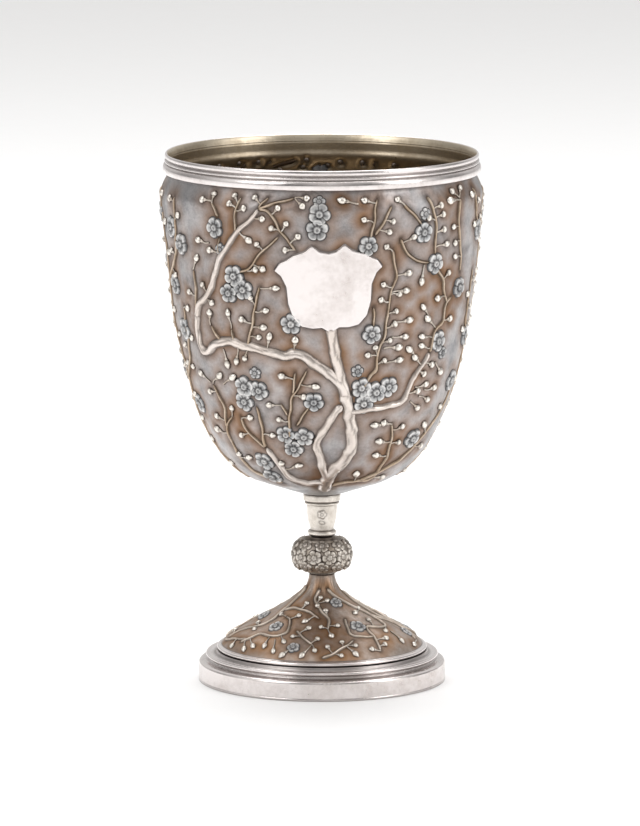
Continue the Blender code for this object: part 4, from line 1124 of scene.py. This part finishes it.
    # The bead: painted highlight all over, painted shade where it meets the dome.
    shade_bead = np.zeros((len(bead_profile), DOME_COLUMNS, 3))
    shade_bead[..., 1] = 1.0
    shade_bead[:2, :, 0] = 1.0
    # Inside the foot: an even mid share of painted shade, painted highlight and brown tarnish.
    shade_in = np.zeros((40, DOME_COLUMNS, 3)) + 0.4
    poles = np.array(((0.0, 0.0, 44.2), (0.0, 0.0, 37.0))) * MM
    rows = np.vstack((outer_rows, bead_rows, inner_rows))
    shades = np.vstack((shade_out, shade_bead, shade_in))
    tones = np.zeros((len(rows) - 1, DOME_COLUMNS), int)
    tones[96:96 + len(bead_profile)] = 1
    shell = tube(rows, poles, shades, tones.ravel())
    make_piece("foot_dome", [shell], [foot_ground, plain], "foot")
    vines = [branch(dome, 0.8 * w, 0.8 * t, route, 0.75, rng) for w, t, route in foot_twigs]
    make_piece("foot_twigs", vines, [foot_bark], "foot")
    bloom = [blossom(dome, d, h, r, rng.uniform(0.0, 72.0), 0.0) for d, h, r in foot_flowers]
    make_piece("foot_blossoms", bloom, [petals], "foot")
    stalks = stalk_feet(dome, foot_buds, foot_twigs)
    closed = [bud(dome, foot, at, rng.uniform(0.8, 1.05), rng.uniform(-0.3, 0.3) * MM) for foot, at in stalks]
    make_piece("foot_buds", closed, [bud_tops], "foot")

    # Foot's rim: step, half-round, cove and the plain band
    rim_profile = (
        (40.3, 12.6), (42.5, 12.6), (43.7, 12.6), (44.0, 12.45), (44.15, 11.9), (44.5, 11.3), (45.2, 10.9),
        (46.2, 10.8), (46.9, 11.0), (47.4, 11.35), (47.85, 11.3), (48.15, 10.95), (48.15, 10.45), (47.8, 10.05),
        (47.3, 9.8), (47.1, 9.2), (47.4, 8.6), (48.2, 8.35), (49.3, 8.3), (50.2, 8.15), (50.8, 7.8), (51.05, 7.3), (51.1, 6.4), (51.1, 4.0),
        (51.1, 1.4), (51.12, 0.95), (51.2, 0.75), (51.2, 0.2), (51.05, 0.0), (49.5, 0.0), (47.1, 0.0),
        (46.9, 0.3), (46.8, 4.5), (46.6, 8.4), (46.0, 8.9), (43.0, 10.1), (40.4, 11.2), (40.2, 11.6),
    )
    curve = rounded(rim_profile, 3, True)
    marks = np.zeros((len(curve), 1, 3))
    # Painted shade in the cove and at the step, painted highlights along the edges.
    marks[:, 0, 0] = bump(curve[:, 1] - 9.1, 0.7) * (curve[:, 0] > 47.2) + 0.8 * bump(curve[:, 0] - 44.4, 0.9) * (curve[:, 1] > 10.5)
    marks[:, 0, 0] = np.clip(marks[:, 0, 0], 0.0, 0.9)
    marks[:, 0, 1] = 0.25 + 0.7 * bump(curve[:, 1] - 8.0, 0.5) + 0.7 * bump(curve[:, 1] - 11.0, 0.5) + 0.7 * bump(curve[:, 1] - 0.4, 0.4)
    rows = turned_rows(curve[:, 0], curve[:, 1], MOULDING_COLUMNS)
    make_piece("foot_band", [tube(rows, None, marks)], [plain], "foot_rim")


def add_floor():
    """A pale plain floor."""
    span = 9.0
    steps = np.linspace(-span, span, 31)
    x, y = np.meshgrid(steps, steps)
    points = np.stack((x.ravel(), y.ravel(), 0.0 * x.ravel() - 0.00005), axis=-1)
    i, j = np.meshgrid(np.arange(30), np.arange(30))
    corner = (j * 31 + i).ravel()
    faces = np.stack((corner, corner + 1, corner + 32, corner + 31), axis=-1)
    mesh = bpy.data.meshes.new("floor")
    mesh.from_pydata(points.tolist(), [], faces.tolist())
    material = bpy.data.materials.new("pale_floor")
    material.use_nodes = True
    tree = material.node_tree
    shader = tree.nodes["Principled BSDF"]
    where = tree.nodes.new("ShaderNodeTexCoord").outputs["Object"]
    paper = blend_colours(tree, noise(tree, where, 60.0), (0.93, 0.93, 0.93, 1.0), (0.95, 0.95, 0.95, 1.0))
    tree.links.new(paper, shader.inputs["Base Color"])
    shader.inputs["Roughness"].default_value = 0.9
    shader.inputs["Specular IOR Level"].default_value = 0.1
    mesh.materials.append(material)
    floor = bpy.data.objects.new("floor", mesh)
    bpy.context.scene.collection.objects.link(floor)


def add_softbox(name, place, aim, width, height, power):
    """A rectangular area light that faces its aim."""
    light = bpy.data.lights.new(name, "AREA")
    light.shape = "RECTANGLE"
    light.size = width
    light.size_y = height
    light.energy = power
    lamp = bpy.data.objects.new(name, light)
    bpy.context.scene.collection.objects.link(lamp)
    aim_at(lamp, place, aim)


def aim_at(thing, place, aim):
    """Stand a camera or a light at a place, looking at a point, with its top up."""
    back = np.array(place, float) - np.array(aim, float)
    back = back / np.linalg.norm(back)
    right = np.cross((0.0, 0.0, 1.0), back)
    right = right / np.linalg.norm(right)
    up = np.cross(back, right)
    columns = np.column_stack((right, up, back))
    turned = np.eye(4)
    turned[:3, :3] = columns
    turned[:3, 3] = place
    thing.matrix_world = Matrix(turned.tolist())


def add_world():
    """Studio air: bright above and behind, darker low in front, so that the silver has contrast."""
    world = bpy.data.worlds.new("studio")
    world.use_nodes = True
    tree = world.node_tree
    background = tree.nodes["Background"]
    where = tree.nodes.new("ShaderNodeTexCoord").outputs["Generated"]
    parts = put(tree, "ShaderNodeSeparateXYZ", Vector=where).outputs
    front = maths(tree, "MULTIPLY_ADD", parts[1], 0.5, 0.5)
    high = maths(tree, "MAXIMUM", parts[2], 0.0)
    glow = maths(tree, "ADD", maths(tree, "MULTIPLY", front, 0.40), maths(tree, "MULTIPLY", high, 0.45))
    glow = maths(tree, "ADD", glow, 0.22)
    turn = maths(tree, "ARCTAN2", parts[0], maths(tree, "MULTIPLY", parts[1], -1.0))
    for middle, width, strength in STUDIO_BANDS:
        away = maths(tree, "DIVIDE", maths(tree, "SUBTRACT", turn, math.radians(middle)), math.radians(width))
        bell = maths(tree, "EXPONENT", maths(tree, "MULTIPLY", maths(tree, "MULTIPLY", away, away), -1.0))
        glow = maths(tree, "MULTIPLY_ADD", bell, strength, glow)
    glow = maths(tree, "MAXIMUM", glow, 0.05)
    tree.links.new(glow, background.inputs["Strength"])
    background.inputs["Color"].default_value = (1.0, 0.99, 0.98, 1.0)
    bpy.context.scene.world = world


def add_camera():
    camera = bpy.data.cameras.new("camera")
    camera.lens = CAMERA_LENS
    camera.sensor_width = 36.0
    holder = bpy.data.objects.new("camera", camera)
    bpy.context.scene.collection.objects.link(holder)
    aim_at(holder, CAMERA_PLACE, CAMERA_AIM)
    bpy.context.scene.camera = holder


main()
add_floor()
add_softbox("key", (-1.6, -1.5, 1.5), (0.0, 0.0, 0.12), 1.3, 1.6, 15.0)
add_softbox("fill", (1.8, -1.0, 1.0), (0.0, 0.0, 0.12), 0.9, 1.6, 10.0)
add_softbox("top", (0.0, 0.6, 1.9), (0.0, 0.0, 0.1), 1.5, 1.5, 26.0)
add_world()
add_camera()
bpy.context.scene.view_settings.view_transform = "Standard"
